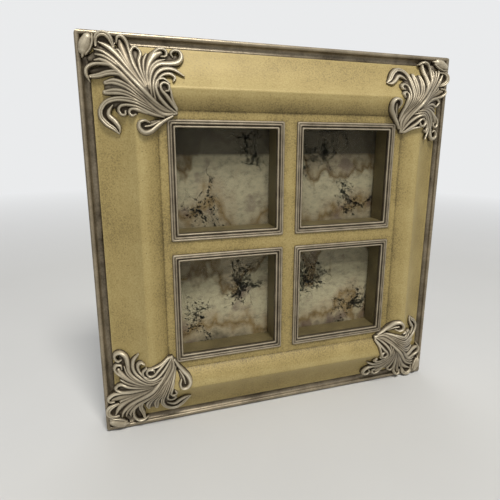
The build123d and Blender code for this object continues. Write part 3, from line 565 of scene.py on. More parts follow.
# Each leaf: its path in millimetres in from the left and down from the top, its half widths and
# its heights above the frame's face along that path, and how many ridges run along it
LEAVES = {
    # The low body that joins the leaves
    "body": (
        [(51, 45), (42, 38), (32, 27), (22, 17), (14, 11)],
        (2.2, 6, 8, 6.5, 2.8), (1.7, 2, 2.2, 2.1, 1.8), 0),
    "body_upper": (
        [(46, 40), (42, 31), (39, 22), (42, 14)],
        (2.5, 5.8, 5.6, 3.6), (1.7, 2, 2.1, 1.9), 0),
    "body_crown": ([(34, 28), (29, 18), (27, 9)], (4.8, 6.4, 4.2), (2.1, 2.2, 1.8), 0),
    "body_eye": ([(35, 22), (32.6, 12)], (3.6, 2.8), (2, 1.7), 0),
    "body_tips": ([(20, 17), (15, 13.5), (12, 12.5)], (5, 4, 2.2), (2.2, 1.9, 1.5), 0),
    "body_left": (
        [(42, 44), (32, 37), (23, 32), (18, 31.5)],
        (1.8, 5.4, 5.2, 3.6), (1.8, 2.1, 2, 1.7), 0),
    "body_hook": ([(46, 16), (53, 14), (56, 12.5)], (2.2, 3.2, 1.8), (1.4, 1.5, 1.4), 0),
    "body_spiral": ([(51, 41), (46.5, 33), (47, 27.5)], (1.8, 4, 2.8), (1.3, 1.4, 1.3), 0),
    "body_lip": ([(19, 21.5), (13, 21.8), (8, 22.6)], (1.8, 2, 1.8), (1.3, 1, 1), 0),
    "body_pocket": ([(13, 13), (8.5, 15.5)], (3, 2.4), (1.3, 1.1), 0),
    "body_arch": ([(20, 11), (16, 5), (14, 4)], (3.2, 3.2, 2.2), (1.3, 1, 1), 0),
    "body_long": (
        [(26, 40), (17, 41), (14.2, 46), (18, 52)],
        (1.5, 3, 3, 1.8), (1.4, 1.4, 1.3, 1.3), 0),
    "body_bud": ([(12.4, 6.4), (11.6, 12)], (2.2, 1.8), (1.3, 1.2), 0),
    "body_veins": ([(22, 43.6), (30, 45.4)], (2.4, 2), (1.2, 1.2), 0),
    "body_scroll": ([(45, 49.5), (40, 52), (36, 53.5)], (1, 2.4, 3.6), (1.4, 1.5, 1.4), 0),
    # The leaves themselves
    "root": ([(33, 34), (40, 40.5), (47, 44.8), (54, 45)], (1.2, 3, 3.2, 1.6), (2.4, 3, 3, 2.2), 2),
    "midrib": (
        [(52, 45), (43, 40), (35, 32.5), (28, 24.5), (21, 16.5), (15, 12), (10.3, 10.6)],
        (1.3, 1.6, 2.1, 2.2, 1.9, 1.4, 0.5), (2.2, 3, 3.4, 3.4, 3.2, 3, 2.4), 1),
    "tip_upper": (
        [(36, 31), (29, 22), (23, 13.8), (18, 9.2), (12.8, 6.6)],
        (1.4, 1.9, 2.4, 2.1, 0.6), (2.6, 3.1, 3.2, 3.1, 2.6), 1),
    "tip_lower": (
        [(40, 39), (31, 32), (24, 24.4), (18, 18.6), (13.5, 16.4), (10, 16.6)],
        (1.4, 1.9, 2.4, 2.2, 1.6, 0.6), (2.4, 2.8, 3, 3, 2.8, 2.4), 1),
    "tip_middle": (
        [(26, 22.5), (19.5, 17.2), (15, 14.4), (10.6, 13.4)],
        (1.1, 1.5, 1.5, 0.5), (2.6, 3, 2.8, 2.4), 1),
    "egg": ([(4.7, 11.2), (5.8, 8.2), (7.2, 5)], (3.2, 3.9, 3.1), (2.9, 3.3, 3.2), 0),
    "egg_tail": ([(6, 9), (4.4, 12.8), (3.6, 15.2)], (2.6, 1.6, 0.5), (2.8, 2.2, 1.6), 0),
    "egg_fold": (
        [(9.7, 2.6), (9.6, 6.5), (8.2, 10.5), (5.6, 13.8)],
        (0.5, 0.8, 0.8, 0.5), (2.6, 3.2, 3, 2.2), 1),
    "arch": (
        [(11.2, 8.6), (11.4, 4.6), (13.6, 2.2), (16.6, 2), (19, 4.2), (20.8, 8.8)],
        (0.9, 1.5, 1.9, 2, 1.9, 1), (2.4, 3, 3.3, 3.4, 3.2, 2.6), 2),
    "upper_lobe": (
        [(38, 34), (32.5, 26), (28.6, 18), (26.2, 11), (24.4, 5.4)],
        (1.5, 2, 2.9, 3, 1.8), (2.4, 2.8, 2.8, 2.8, 2.2), 1),
    "upper_edge": (
        [(34.4, 26), (31, 18), (29.4, 11), (28.2, 6), (25.8, 2.9), (23.4, 3.4), (22.6, 6.4)],
        (1.2, 1.5, 1.3, 1.4, 1.3, 1.1, 0.7), (2.8, 3.2, 3.3, 3.4, 3.4, 3, 2.6), 1),
    "upper_vein": (
        [(30, 22), (26, 15), (23.4, 10.6), (21.6, 10.4)],
        (1, 1.3, 1.2, 0.5), (2.8, 3.1, 3, 2.4), 1),
    "crown_left": (
        [(37, 31), (33, 22), (30.6, 15), (30.2, 10.6), (32.4, 7.9), (34.8, 9.4)],
        (1.3, 1.6, 1.6, 1.5, 1.3, 1), (2.6, 3, 3, 3, 3, 2.8), 1),
    "crown_right": (
        [(37.4, 30), (35, 22), (34.4, 16), (35.6, 12), (34.9, 9.4)],
        (1.2, 1.5, 1.6, 1.4, 1), (2.6, 3, 3, 3, 2.8), 1),
    "small_lobe": (
        [(37.6, 30), (36.6, 22), (37, 16), (39, 11.6)],
        (1.1, 1.4, 1.7, 0.9), (2.4, 2.8, 2.6, 2.2), 1),
    "raised_lobe": (
        [(38.6, 32), (38, 24), (40, 17), (43.4, 12.2), (47, 10.4)],
        (1.3, 1.6, 2.4, 2.9, 2), (2.6, 3, 3.2, 3.2, 2.8), 1),
    "raised_edge": (
        [(41, 14.6), (44, 9.9), (47.6, 8.1), (50.4, 9.4), (50.2, 12.2), (47.4, 12.6)],
        (1, 1.3, 1.3, 1.3, 1.1, 0.7), (2.8, 3.4, 3.6, 3.5, 3.2, 2.8), 1),
    "raised_foot": (
        [(38.6, 27), (40.6, 20), (44.4, 16), (49.6, 14.2)],
        (1.1, 1.4, 1.3, 0.6), (2.6, 3, 3, 2.6), 1),
    "hook": (
        [(40, 36), (39.4, 28), (41.6, 21), (46, 17.2), (52, 16.6), (57, 15.4), (59.4, 12.4),
         (58.4, 9.2), (55.4, 8.6), (53.2, 10.4), (54.2, 12.6)],
        (1.2, 1.5, 1.8, 2.1, 2.2, 2.1, 1.8, 1.4, 1.2, 1, 0.7),
        (2.6, 3, 3.1, 3.1, 3.1, 3.3, 3.6, 3.6, 3.5, 3.2, 2.6), 1),
    "tongue": (
        [(42, 38), (41, 30), (43.4, 23.4), (48, 20), (54, 20), (60, 23.8)],
        (1.2, 1.5, 1.7, 1.9, 1.6, 0.4), (2.6, 3, 3.1, 3.1, 2.8, 2), 1),
    "small_curl": (
        [(43.6, 31), (44.2, 26.6), (47.6, 23.4), (51.6, 22.8), (54, 24.8), (53, 27.2)],
        (1, 1.3, 1.3, 1.4, 1.1, 0.5), (2.6, 3, 3.1, 3.1, 3, 2.4), 1),
    "spiral": (
        [(53.6, 44.6), (48, 40.6), (43.8, 35.6), (42.4, 30.4), (43.8, 26.8), (47.2, 25.8),
         (50.6, 28.2)],
        (1, 1.6, 1.6, 1.4, 1.2, 1.1, 0.6), (2.4, 3, 3.2, 3.2, 3.2, 3.1, 2.6), 1),
    "spiral_eye": (
        [(54.6, 43.6), (51.4, 39.4), (48.2, 35.4), (45.6, 32.6), (45.2, 29.8), (47.2, 28.2),
         (49.8, 29.4), (49.8, 32.4), (47.8, 33)],
        (1, 1.5, 1.5, 1.3, 1.2, 1.1, 1.1, 1, 0.7), (2.4, 3, 3.2, 3.2, 3.3, 3.4, 3.4, 3.3, 2.8), 1),
    "spiral_back": (
        [(54.8, 42.6), (52, 38), (51, 33.6), (50.8, 31)],
        (0.7, 1.1, 0.9, 0.4), (2.2, 2.8, 2.8, 2.2), 1),
    "finger_upper": (
        [(42, 43), (33, 36.4), (26, 30.8), (20, 28.4), (15.2, 28.8)],
        (1.4, 1.8, 2.3, 2.5, 1.4), (2.4, 2.9, 3, 2.9, 2.3), 2),
    "finger_lower": (
        [(44, 45), (34, 39.4), (26, 35), (20, 33.8), (14.6, 34.2)],
        (1.3, 1.7, 2.2, 2.7, 1.6), (2.4, 2.9, 3, 2.9, 2.3), 2),
    "lip_edge": (
        [(24, 23.4), (18.6, 19.4), (12.6, 18.4), (8, 19.2), (5.4, 21.6), (5.2, 24.8), (6.8, 28.4)],
        (0.9, 1.4, 1.3, 1.3, 1.3, 1.2, 0.5), (2.8, 3, 2.8, 3, 3.3, 3.2, 2.2), 1),
    "lip_band": (
        [(27, 27), (22, 23.6), (17, 23.4), (12, 24.8), (7.2, 25.6)],
        (0.9, 2, 1.9, 1.7, 1.2), (2.8, 3.1, 3.2, 3.1, 3), 2),
    "long_leaf": (
        [(46, 46.6), (37, 42.2), (29, 38.8), (21.6, 37.8), (15.4, 39.4), (11.9, 43.4), (11.4, 47.8),
         (14.2, 51.8), (18, 54.6), (21, 57.8)],
        (1.2, 1.7, 2, 1.9, 1.7, 1.7, 1.7, 1.8, 1.5, 0.4),
        (2.4, 2.9, 3.1, 3.2, 3.3, 3.4, 3.3, 3.1, 2.7, 1.6), 2),
    "long_fold": (
        [(18.2, 41.4), (16, 44.6), (15.8, 47.4), (18.6, 50.4), (21, 54), (21.4, 57)],
        (0.5, 1.4, 1.7, 1.8, 1.4, 0.4), (2.4, 2.8, 2.8, 2.8, 2.4, 1.6), 1),
    "vein_low": (
        [(47, 47.6), (39, 45.4), (32, 42.4), (27, 41.2), (23, 41.6), (21.4, 44), (22.6, 46.6),
         (24.8, 46.6), (25, 44.6)],
        (0.9, 1.6, 1.5, 1.2, 1.1, 1.1, 1, 0.9, 0.6),
        (2.2, 2.6, 2.6, 2.6, 2.8, 2.9, 2.9, 2.8, 2.4), 1),
    "vein_curl": (
        [(37, 45.8), (32, 43.9), (28.6, 43.4), (27, 45.2), (28.4, 47.2), (30.6, 46.4)],
        (0.7, 1.4, 1.2, 1, 1, 0.6), (2.2, 2.6, 2.7, 2.8, 2.8, 2.4), 1),
    "scroll": (
        [(52, 47), (47.4, 49.4), (43, 52.6), (39, 55.8), (35, 56.6), (32.2, 54.2), (32.4, 51),
         (35.2, 49.8), (38, 50.8)],
        (0.9, 1.4, 1.7, 1.9, 1.8, 1.5, 1.2, 1, 0.6),
        (2.2, 2.6, 2.8, 3, 3.2, 3.3, 3.3, 3.1, 2.6), 1),
    "scroll_eye": ([(44, 50), (39.4, 52.4), (35.4, 53.2)], (0.6, 1, 0.7), (2.2, 2.5, 2.2), 1),
}

# How a leaf is felt out on the grid, in millimetres: the runs that each stretch of its path is cut
# into, its least width, the margin looked at round it, and how fast the ground falls beside it
LEAF_RUNS = 8
LEAST_WIDTH = 0.2
LEAF_MARGIN = 0.6
LEAF_FALL = 4.0
# The fullness of a leaf's dome and the depth of its ribs, by how many ridges it has
DOME_POWERS = (2.0, 2.2, 2.2)
RIB_DEPTHS = (0.0, 0.16, 0.24)
# Further than anything that is felt for
FAR = 9.0

# The nodes that make up the frame's face, how far in it is felt out, and from how far ahead
FACE_NODES = ("rim_frame", "moulding_top", "window_panel", "bead_top_left")
FACE_REACH = 52.5 * MM
AHEAD = 0.1

# Under a casting the face's narrow dips are bridged: the points either way over which they are
# first averaged, then smoothed
DIP_POINTS, BRIDGE_POINTS = 20, 16
# Width in millimetres over which the two arms of a casting turn into each other
MITRE_EASE = 1.5
# How far a casting's back lies behind the face, as a share of its skirt
BACK_SHARE = 1.6
# How far in millimetres under the leaves' foot the shell is kept
KEPT_DROP = 1.2
# Lightness of a casting: its level, what each millimetre adds that a point stands above the mean
# of so many points either way, and what each millimetre adds above the leaves' usual height
WASH_LEVEL = 0.48
WASH_BY_REACH = ((4, 0.75), (12, 0.32))
WASH_BY_HEIGHT = 0.12
USUAL_HEIGHT = 2.9


def through(values, count):
    """A smooth row through a few values or points."""
    points = np.atleast_2d(np.asarray(values, float).T).T
    before, after = 2 * points[0] - points[1], 2 * points[-1] - points[-2]
    rows = np.vstack([before, points, after])
    last = len(points) - 1
    steps = np.linspace(0, last, count)
    index = np.minimum(steps.astype(int), last - 1)
    part = (steps - index)[:, None]
    a, b, c, d = (rows[index + k] for k in range(4))
    curve = 2 * b + (c - a) * part + (2 * a - 5 * b + 4 * c - d) * part ** 2
    return (curve + (3 * b - 3 * c + d - a) * part ** 3) / 2


def leaf_height(across, down, path, widths, heights, ridges):
    """The height of one leaf over a grid: a dome across its width, ribbed along its length."""
    count = LEAF_RUNS * (len(path) - 1) + 1
    line = through(path, count)
    width = np.maximum(through(widths, count)[:, 0], LEAST_WIDTH)
    crown = through(heights, count)[:, 0]
    reach = width.max() + LEAF_MARGIN
    low, high = line.min(0) - reach, line.max(0) + reach
    near = (across > low[0]) & (across < high[0]) & (down > low[1]) & (down < high[1])
    points = np.stack([across[near], down[near]], 1)
    best = np.full(len(points), FAR)
    side, top = np.zeros(len(points)), np.zeros(len(points))
    for k in range(count - 1):
        run = line[k + 1] - line[k]
        part = np.clip(((points - line[k]) @ run) / (run @ run), 0, 1)
        away = points - line[k] - part[:, None] * run
        distance = np.hypot(away[:, 0], away[:, 1]) / (width[k] + (width[k + 1] - width[k]) * part)
        closer = distance < best
        best[closer] = distance[closer]
        sign = np.sign(run[0] * away[:, 1] - run[1] * away[:, 0])
        side[closer] = (distance * sign)[closer]
        top[closer] = (crown[k] + (crown[k + 1] - crown[k]) * part)[closer]
    dome = np.clip(1 - best ** DOME_POWERS[ridges], 0, 1) ** 0.5
    depth = RIB_DEPTHS[ridges]
    ribs = np.abs(np.sin(np.pi / 2 * ridges * (np.clip(side, -1, 1) + 1)))
    height = np.full(across.shape, -FAR)
    height[near] = np.where(
        best < 1, top * dome * (1 - depth + depth * ribs), -LEAF_FALL * (best - 1))
    return height


def smoothed(grid, reach):
    """A grid averaged over a square of that many points each way."""
    for _ in range(2):
        padded = np.pad(grid, ((reach + 1, reach), (0, 0)), "edge")
        total = np.cumsum(padded, 0)
        grid = ((total[2 * reach + 1:] - total[:-2 * reach - 1]) / (2 * reach + 1)).T
    return grid


def spread(row, reach):
    """A row averaged over that many points each way."""
    width = 2 * reach + 1
    return np.convolve(np.pad(row, reach, "edge"), np.ones(width) / width, "valid")


def face_profile(step):
    """The depth of the frame's face by distance in from its edge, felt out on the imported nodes."""
    insets = np.arange(step / 2, FACE_REACH, step)
    depths = np.full(len(insets), FAR)
    for name in FACE_NODES:
        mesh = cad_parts[name].data
        tree = BVHTree.FromPolygons(
            [vertex.co for vertex in mesh.vertices], [face.vertices for face in mesh.polygons])
        for k, inset in enumerate(insets):
            start = Vector((-WINDOW_PITCH / 2, -AHEAD, RIM_HIGH.z - inset))
            hit = tree.ray_cast(start, Vector((0, 1, 0)))[0]
            if hit is not None:
                depths[k] = min(depths[k], hit.y)
    return insets, depths


def leaves_height(across, down, blend):
    """The height of all the leaves over a grid, run together where they meet."""
    height = np.full(across.shape, -FAR)
    for leaf_shape in LEAVES.values():
        leaf = leaf_height(across, down, *leaf_shape)
        apart = np.abs(height - leaf)
        soft = np.where(apart < blend, (blend - apart) ** 2 / (4 * blend), 0)
        height = np.maximum(height, leaf) + soft
    return height


def casting_wash(height):
    """Lightness of the casting's silver: high places rubbed, hollows and foot full of wash."""
    lift = np.maximum(height, 0)
    wash_and_painted_light = WASH_LEVEL
    for reach, weight in WASH_BY_REACH:
        wash_and_painted_light = wash_and_painted_light + weight * (lift - smoothed(lift, reach))
    wash_and_painted_light = wash_and_painted_light + WASH_BY_HEIGHT * (lift - USUAL_HEIGHT)
    return np.where(height > 0, wash_and_painted_light, 0.0)


def casting_mesh(sizes):
    """The top left casting: a closed shell whose front carries the leaves."""
    step = sizes.grain
    places = (np.arange(int(sizes.reach / step)) + 1) * step
    across, down = np.meshgrid(places / MM, places / MM)
    height = leaves_height(across, down, sizes.blend / MM) * sizes.fullness
    insets, depths = face_profile(step)
    inset = np.minimum(across, down) * MM
    ease = np.logaddexp(0, -np.abs(across - down) / MITRE_EASE) * MITRE_EASE * MM
    face = np.interp(inset, insets, depths)
    bridge = spread(np.minimum(depths, spread(depths, DIP_POINTS)), BRIDGE_POINTS)
    base = np.interp(inset - ease, insets, bridge)
    sunk = np.clip(-height * MM, 0, sizes.skirt)
    front = np.where(height > 0, base - height * MM, face + sunk)
    back = face + BACK_SHARE * sizes.skirt
    return grid_shell("casting", across * MM, down * MM, front, back, height > -KEPT_DROP,
                      casting_wash(height))


def grid_shell(name, across, down, front, back, kept, wash_and_painted_light):
    """A closed shell from the kept cells of a grid."""
    cells = kept[:-1, :-1] & kept[1:, :-1] & kept[:-1, 1:] & kept[1:, 1:]
    number = np.arange(kept.size).reshape(kept.shape)
    a, b = number[:-1, :-1][cells], number[:-1, 1:][cells]
    c, d = number[1:, 1:][cells], number[1:, :-1][cells]
    x, z = across.ravel() - HALF_SIDE, RIM_HIGH.z - down.ravel()
    points = np.vstack([
        np.stack([x, front.ravel(), z], 1), np.stack([x, back.ravel(), z], 1)])
    shift = kept.size
    tops = np.stack([a, d, c, b], 1)
    faces = [tops, tops[:, ::-1] + shift]
    padded = np.pad(cells, 1)
    for rows_off, columns_off, first, second in (
        (-1, 0, a, b), (1, 0, c, d), (0, -1, d, a), (0, 1, b, c),
    ):
        beside = padded[1 + rows_off:, 1 + columns_off:][:cells.shape[0], :cells.shape[1]]
        open_edge = ~beside[cells]
        low, high = first[open_edge], second[open_edge]
        faces.append(np.stack([low, high, high + shift, low + shift], 1))
    faces = np.vstack(faces)
    used, index = np.unique(faces, return_inverse=True)
    wash_and_painted_light = np.concatenate([wash_and_painted_light.ravel(), np.zeros(shift)])
    return mesh_of(name, points[used], index.reshape(faces.shape), wash_and_painted_light[used])


# Reeded liners

# The liner's face from its outer edge inwards in millimetres: distance, height over the panel,
# and wash
LINER_FACE = (
    (0.00, 0.00, 0.08), (0.05, 0.45, 0.20), (0.30, 0.92, 0.48), (0.70, 1.18, 0.74),
    (1.10, 1.10, 0.60), (1.42, 0.80, 0.28), (1.60, 0.66, 0.14), (1.78, 0.80, 0.26),
    (2.10, 1.10, 0.52), (2.45, 1.16, 0.64), (2.75, 0.95, 0.42), (2.95, 0.45, 0.14),
    (3.10, 0.02, 0.04), (3.55, -0.12, 0.02), (3.72, 0.10, 0.12), (3.90, 0.46, 0.50),
    (4.25, 0.60, 0.80), (4.65, 0.52, 0.66), (4.92, 0.20, 0.38), (5.00, -0.30, 0.22),
)
# The wash of the liner's hidden sides, and the thickness of its wall behind its inner edge
HIDDEN_WASH = 0.1
LINER_WALL = 2.4 * MM
# A liner's corners get tighter towards its inner edge by this share, down to a least radius
CORNER_TIGHTENING = 0.35
LEAST_CORNER = 0.3 * MM
CORNER_STEPS, SIDE_RUNS = 6, 40
# Lumps per metre of the reeds' unevenness, along them and across them, and of their wash
LUMPS_ALONG, LUMPS_ACROSS, WASH_LUMPS = 90, 220, 160
WASH_UNEVENNESS = 0.10


def rounded_square(half, radius):
    """Points round a square with round corners, the same number whatever its size."""
    points = []
    for quarter in range(4):
        turn = Matrix.Rotation(-quarter * math.pi / 2, 2)
        for k in range(CORNER_STEPS + 1):
            angle = math.pi / 2 * (1 - k / CORNER_STEPS)
            corner = Vector((half - radius + radius * math.cos(angle),
                             half - radius + radius * math.sin(angle)))
            points.append(turn @ corner)
        start, end = Vector((half, half - radius)), Vector((half, -half + radius))
        for k in range(1, SIDE_RUNS):
            points.append(turn @ start.lerp(end, k / SIDE_RUNS))
    return points


def liner_mesh(sizes):
    """One liner about the origin: its reeded face, its inner edge and its back."""
    front_y, back_y = (corner.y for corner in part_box("window_panel"))
    rows = [(place * MM, front_y - rise * MM, tone) for place, rise, tone in LINER_FACE]
    inner = rows[-1][0]
    rows += [(inner, back_y, HIDDEN_WASH), (inner - LINER_WALL, back_y, HIDDEN_WASH),
             (inner - LINER_WALL, front_y, HIDDEN_WASH)]
    points, wash_and_painted_light = [], []
    for place, depth, tone in rows:
        radius = max(sizes.corner * (1 - CORNER_TIGHTENING * place / inner), LEAST_CORNER)
        ring = rounded_square(BEAD_SIDE / 2 - place, radius)
        waver = 0.0 if depth > front_y else sizes.waver
        for point in ring:
            lump = noise.noise(Vector((
                point.x * LUMPS_ALONG, point.y * LUMPS_ALONG, place * LUMPS_ACROSS)))
            points.append((point.x, depth + lump * waver, point.y))
            stain = noise.noise(Vector((point.x * WASH_LUMPS, point.y * WASH_LUMPS, 3.0)))
            wash_and_painted_light.append(tone + WASH_UNEVENNESS * stain)
    size = len(ring)
    faces = []
    for row in range(len(rows)):
        following = (row + 1) % len(rows)
        for k in range(size):
            other = (k + 1) % size
            faces.append((row * size + k, row * size + other,
                          following * size + other, following * size + k))
    return outwards(mesh_of("liner", points, faces, wash_and_painted_light))


# Trees that repeat a piece

SOCKETS = {
    float: "NodeSocketFloat", int: "NodeSocketInt",
    bpy.types.Material: "NodeSocketMaterial", bpy.types.Object: "NodeSocketObject",
}


class Tree:
    """A geometry tree with named inputs, run once and baked to a plain mesh."""

    def __init__(self, name, **inputs):
        self.group = bpy.data.node_groups.new(name, "GeometryNodeTree")
        face = self.group.interface
        face.new_socket("Geometry", in_out="INPUT", socket_type="NodeSocketGeometry")
        self.values = {}
        for key, value in inputs.items():
            socket = face.new_socket(
                key.replace("_", " "), in_out="INPUT", socket_type=SOCKETS[type(value)])
            self.values[socket.identifier] = value
        face.new_socket("Geometry", in_out="OUTPUT", socket_type="NodeSocketGeometry")
        self.start = self.node("NodeGroupInput")
        self.end = self.node("NodeGroupOutput")

    def given(self, name):
        """The value of a named input."""
        return self.start.outputs[name.replace("_", " ")]

    def node(self, kind, values=(), **settings):
        """A node of this tree."""
        return add_node(self.group, kind, values, **settings)

    def random(self, low, high):
        """A random vector for each point."""
        values = {"Min": low, "Max": high, "Seed": self.given("Seed")}
        return self.node("FunctionNodeRandomValue", values, data_type="FLOAT_VECTOR").outputs[0]

    def finish(self, geometry):
        """Realize the instances, give them the finish and close the tree."""
        real = self.node("GeometryNodeRealizeInstances", {0: geometry})
        painted = self.node("GeometryNodeSetMaterial", {
            "Geometry": real.outputs[0], "Material": self.given("Finish")})
        self.group.links.new(painted.outputs[0], self.end.inputs[0])

    def bake(self, name, mesh):
        """The tree's result on a mesh, as a new plain mesh."""
        carrier = linked(name + "_carrier", mesh)
        modifier = carrier.modifiers.new("tree", "NODES")
        modifier.node_group = self.group
        for identifier, value in self.values.items():
            modifier[identifier] = value
        return evaluated(name, carrier)


def window_liners(liner, material):
    """Set one liner at each of the four windows."""
    tree = Tree("window_liners", Window_pitch=WINDOW_PITCH, Height=MIDDLE, Finish=material)
    pitch = tree.given("Window_pitch")
    grid = tree.node("GeometryNodeMeshGrid", {
        "Size X": pitch, "Size Y": pitch, "Vertices X": 2, "Vertices Y": 2})
    lift = tree.node("ShaderNodeCombineXYZ", {"Z": tree.given("Height")})
    upright = tree.node("GeometryNodeTransform", {
        "Geometry": grid.outputs[0], "Translation": lift.outputs[0],
        "Rotation": (math.pi / 2, 0, 0)})
    set_out = tree.node("GeometryNodeInstanceOnPoints", {
        "Points": upright.outputs[0], "Instance": tree.given("Geometry")})
    tree.finish(set_out.outputs[0])
    return tree.bake("window_liners", liner)


# Screws and rivets

TURN_STEPS = 40
DOME_STEPS = 8
# How high the edge of a rivet's dome stands, as a share of its rise
DOME_EDGE = 0.15
# A pan head's outline, as shares of its radius and its rise
PAN_HEAD = ((1, 0), (1, 0.45), (0.93, 0.74), (0.76, 0.93), (0.5, 1), (0, 1))
# A shank's tip: its radius and its length, as shares of the shank's radius
TIP_RADIUS, TIP_LENGTH = 0.8, 0.5
# Which turns the slots were left at
HEADS_SEED = 4


def turned_mesh(name, profile):
    """A closed shape turned about the Y axis from rows of radius and height."""
    work = bmesh.new()
    rim = [work.verts.new((radius, height, 0)) for radius, height in profile]
    edges = [work.edges.new(pair) for pair in zip(rim, rim[1:])]
    bmesh.ops.spin(work, geom=rim + edges, cent=(0, 0, 0), axis=(0, 1, 0), angle=2 * math.pi,
                   steps=TURN_STEPS, use_merge=True)
    bmesh.ops.remove_doubles(work, verts=work.verts, dist=1e-7)
    bmesh.ops.recalc_face_normals(work, faces=work.faces)
    return mesh_from(name, work)


def rivet_mesh(sizes, shank_length):
    """A rivet about +Y with a low domed head, its head's underside at the origin."""
    shank, head, rise = sizes.rivet_shank, sizes.rivet_head, sizes.rivet_rise
    profile = [(0, -shank_length), (shank, -shank_length), (shank, 0), (head, 0)]
    for k in range(DOME_STEPS):
        angle = math.pi / 2 * k / DOME_STEPS
        share = DOME_EDGE + (1 - DOME_EDGE) * math.sin(angle)
        profile.append((head * math.cos(angle), rise * share))
    return turned_mesh("rivet", profile + [(0, rise)])


def screw_mesh(sizes, shank_length):
    """A pan head screw about +Y, slotted across, its head's underside at the origin."""
    shank, head, rise = sizes.shank, sizes.head, sizes.rise
    profile = [(0, -shank_length), (shank * TIP_RADIUS, -shank_length),
               (shank, -shank_length + shank * TIP_LENGTH), (shank, 0)]
    profile += [(head * radius, rise * height) for radius, height in PAN_HEAD]
    screw = linked("screw_blank", turned_mesh("screw", profile))
    block = bmesh.new()
    add_box(block, (0, rise, 0), (head * 3, sizes.slot_depth * 2, sizes.slot))
    slot = linked("slot_blank", mesh_from("slot", block))
    cut = screw.modifiers.new("slot", "BOOLEAN")
    cut.object, cut.operation, cut.solver = slot, "DIFFERENCE", "EXACT"
    slotted = evaluated("slotted_screw", screw)
    bpy.data.objects.remove(slot)
    return slotted


def heads_at(name, places, head, material):
    """Set a screw or rivet at each place, turned as it was left."""
    tree = Tree(name, Head=head, Seed=HEADS_SEED, Finish=material)
    shape = tree.node("GeometryNodeObjectInfo", {"Object": tree.given("Head")})
    set_out = tree.node("GeometryNodeInstanceOnPoints", {
        "Points": tree.given("Geometry"), "Instance": shape.outputs["Geometry"],
        "Rotation": tree.random((0, 0, 0), (0, math.pi, 0))})
    tree.finish(set_out.outputs[0])
    points = bpy.data.meshes.new(name + "_points")
    points.from_pydata(places, [], [])
    mesh = tree.bake(name, points)
    mesh.polygons.foreach_set("use_smooth", [False] * len(mesh.polygons))
    mesh.update()
    return mesh


def ends(low, high, head):
    """Where heads sit from one limit to another: at both, or between them if they are close."""
    return [(low + high) / 2] if high - low < 3 * head else [low + head, high - head]


def fasten(prefix, node, body, shape, sizes, head, rise):
    """Show turned screws or rivets in place of packed ones, head for head."""
    low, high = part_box(node)
    head_y = high.y - rise
    places = [(x, head_y, z) for x in ends(low.x, high.x, head) for z in ends(low.z, high.z, head)]
    blank = linked("blank", shape(sizes, head_y - low.y))
    mesh = heads_at(prefix + node, places, blank, bpy.data.materials["steel"])
    bpy.data.objects.remove(blank)
    placed(prefix + node, mesh, "steel", node, body=body)


# Prints

# Each print's sprays: where each starts, as shares of the print, its heading and its size
SPRAYS = {
    "top_left": (
        (-0.55, -0.8, 60, 0.8), (-0.3, -0.8, 110, 0.5), (0.8, 0.1, 120, 0.35),
        (0.1, 0.75, 20, 0.5)),
    "top_right": (
        (-0.7, 0.7, -50, 0.9), (-0.4, 0.85, -10, 0.9), (0.1, 0.8, -20, 0.7),
        (0.75, -0.75, 120, 0.8)),
    "bottom_left": ((0.75, 0.7, 230, 0.9), (0.8, 0.1, 200, 0.7), (-0.4, -0.8, 60, 0.6)),
    "bottom_right": ((-0.6, 0.75, -60, 0.9), (-0.65, 0.0, -20, 0.7), (0.3, -0.8, 30, 0.7)),
}
# How many steps a branch takes and how long they are: the least, and what its size adds
FEWEST_STEPS, MORE_STEPS = 6, 12
STEP = 1.7 * MM
LEAST_STRIDE, MORE_STRIDE = 0.6, 0.5
# How much a branch wanders at a step, how far it turns back at the print's edge, and how likely,
# how sharp and how small its side shoots are
WANDER = 0.34
TURN_BACK = 1.2
SHOOT_CHANCE = 0.42
LEAST_SHOOT_TURN, MOST_SHOOT_TURN = 0.5, 1.1
SHOOT_SIZE = 0.6
SHOOT_DEPTH = 2
# The share of a print that its stems keep within
GROWN_SHARE = 0.97
# How far the sheet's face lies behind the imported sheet's, and how far the foliage stands out of
# that face, being sunk in it as far again
SHEET_DROP = 0.10 * MM
RELIEF = 0.02 * MM
# A leaf's outline, as shares of its length, and the smallest leaf as a share of the largest
LEAF_OUTLINE = ((0, 0), (0.3, 0.22), (0.65, 0.24), (1, 0), (0.65, -0.24), (0.3, -0.22))
LEAST_LEAF = 0.45


def branch(start, heading, size, reach, rng, rows, depth=0):
    """Grow one crooked branch and its side shoots as rows of points inside the print."""
    points, angle = [start], heading
    for _ in range(int(FEWEST_STEPS + MORE_STEPS * size)):
        angle += rng.normal(0, WANDER)
        step = STEP * (LEAST_STRIDE + MORE_STRIDE * size)
        u, v = points[-1]
        following = (u + math.cos(angle) * step, v + math.sin(angle) * step)
        if max(abs(following[0]), abs(following[1])) > reach:
            angle += TURN_BACK
            continue
        points.append(following)
        if depth < SHOOT_DEPTH and rng.random() < SHOOT_CHANCE:
            turn = rng.choice((-1, 1)) * rng.uniform(LEAST_SHOOT_TURN, MOST_SHOOT_TURN)
            branch(following, angle + turn, size * SHOOT_SIZE, reach, rng, rows, depth + 1)
    rows.append(points)


def stems_mesh(name, centre, reach, sprays, seed):
    """Stems of a print as rows of edges, kept inside the print's own square."""
    rng = np.random.default_rng(seed)
    rows = []
    for u, v, heading, size in sprays:
        branch((u * reach, v * reach), math.radians(heading), size, reach, rng, rows)
    points, edges = [], []
    for row in rows:
        first = len(points)
        points += [(centre.x + u, 0, centre.z + v) for u, v in row]
        edges += [(first + k, first + k + 1) for k in range(len(row) - 1)]
    mesh = bpy.data.meshes.new(name)
    mesh.from_pydata(points, edges, [])
    return mesh


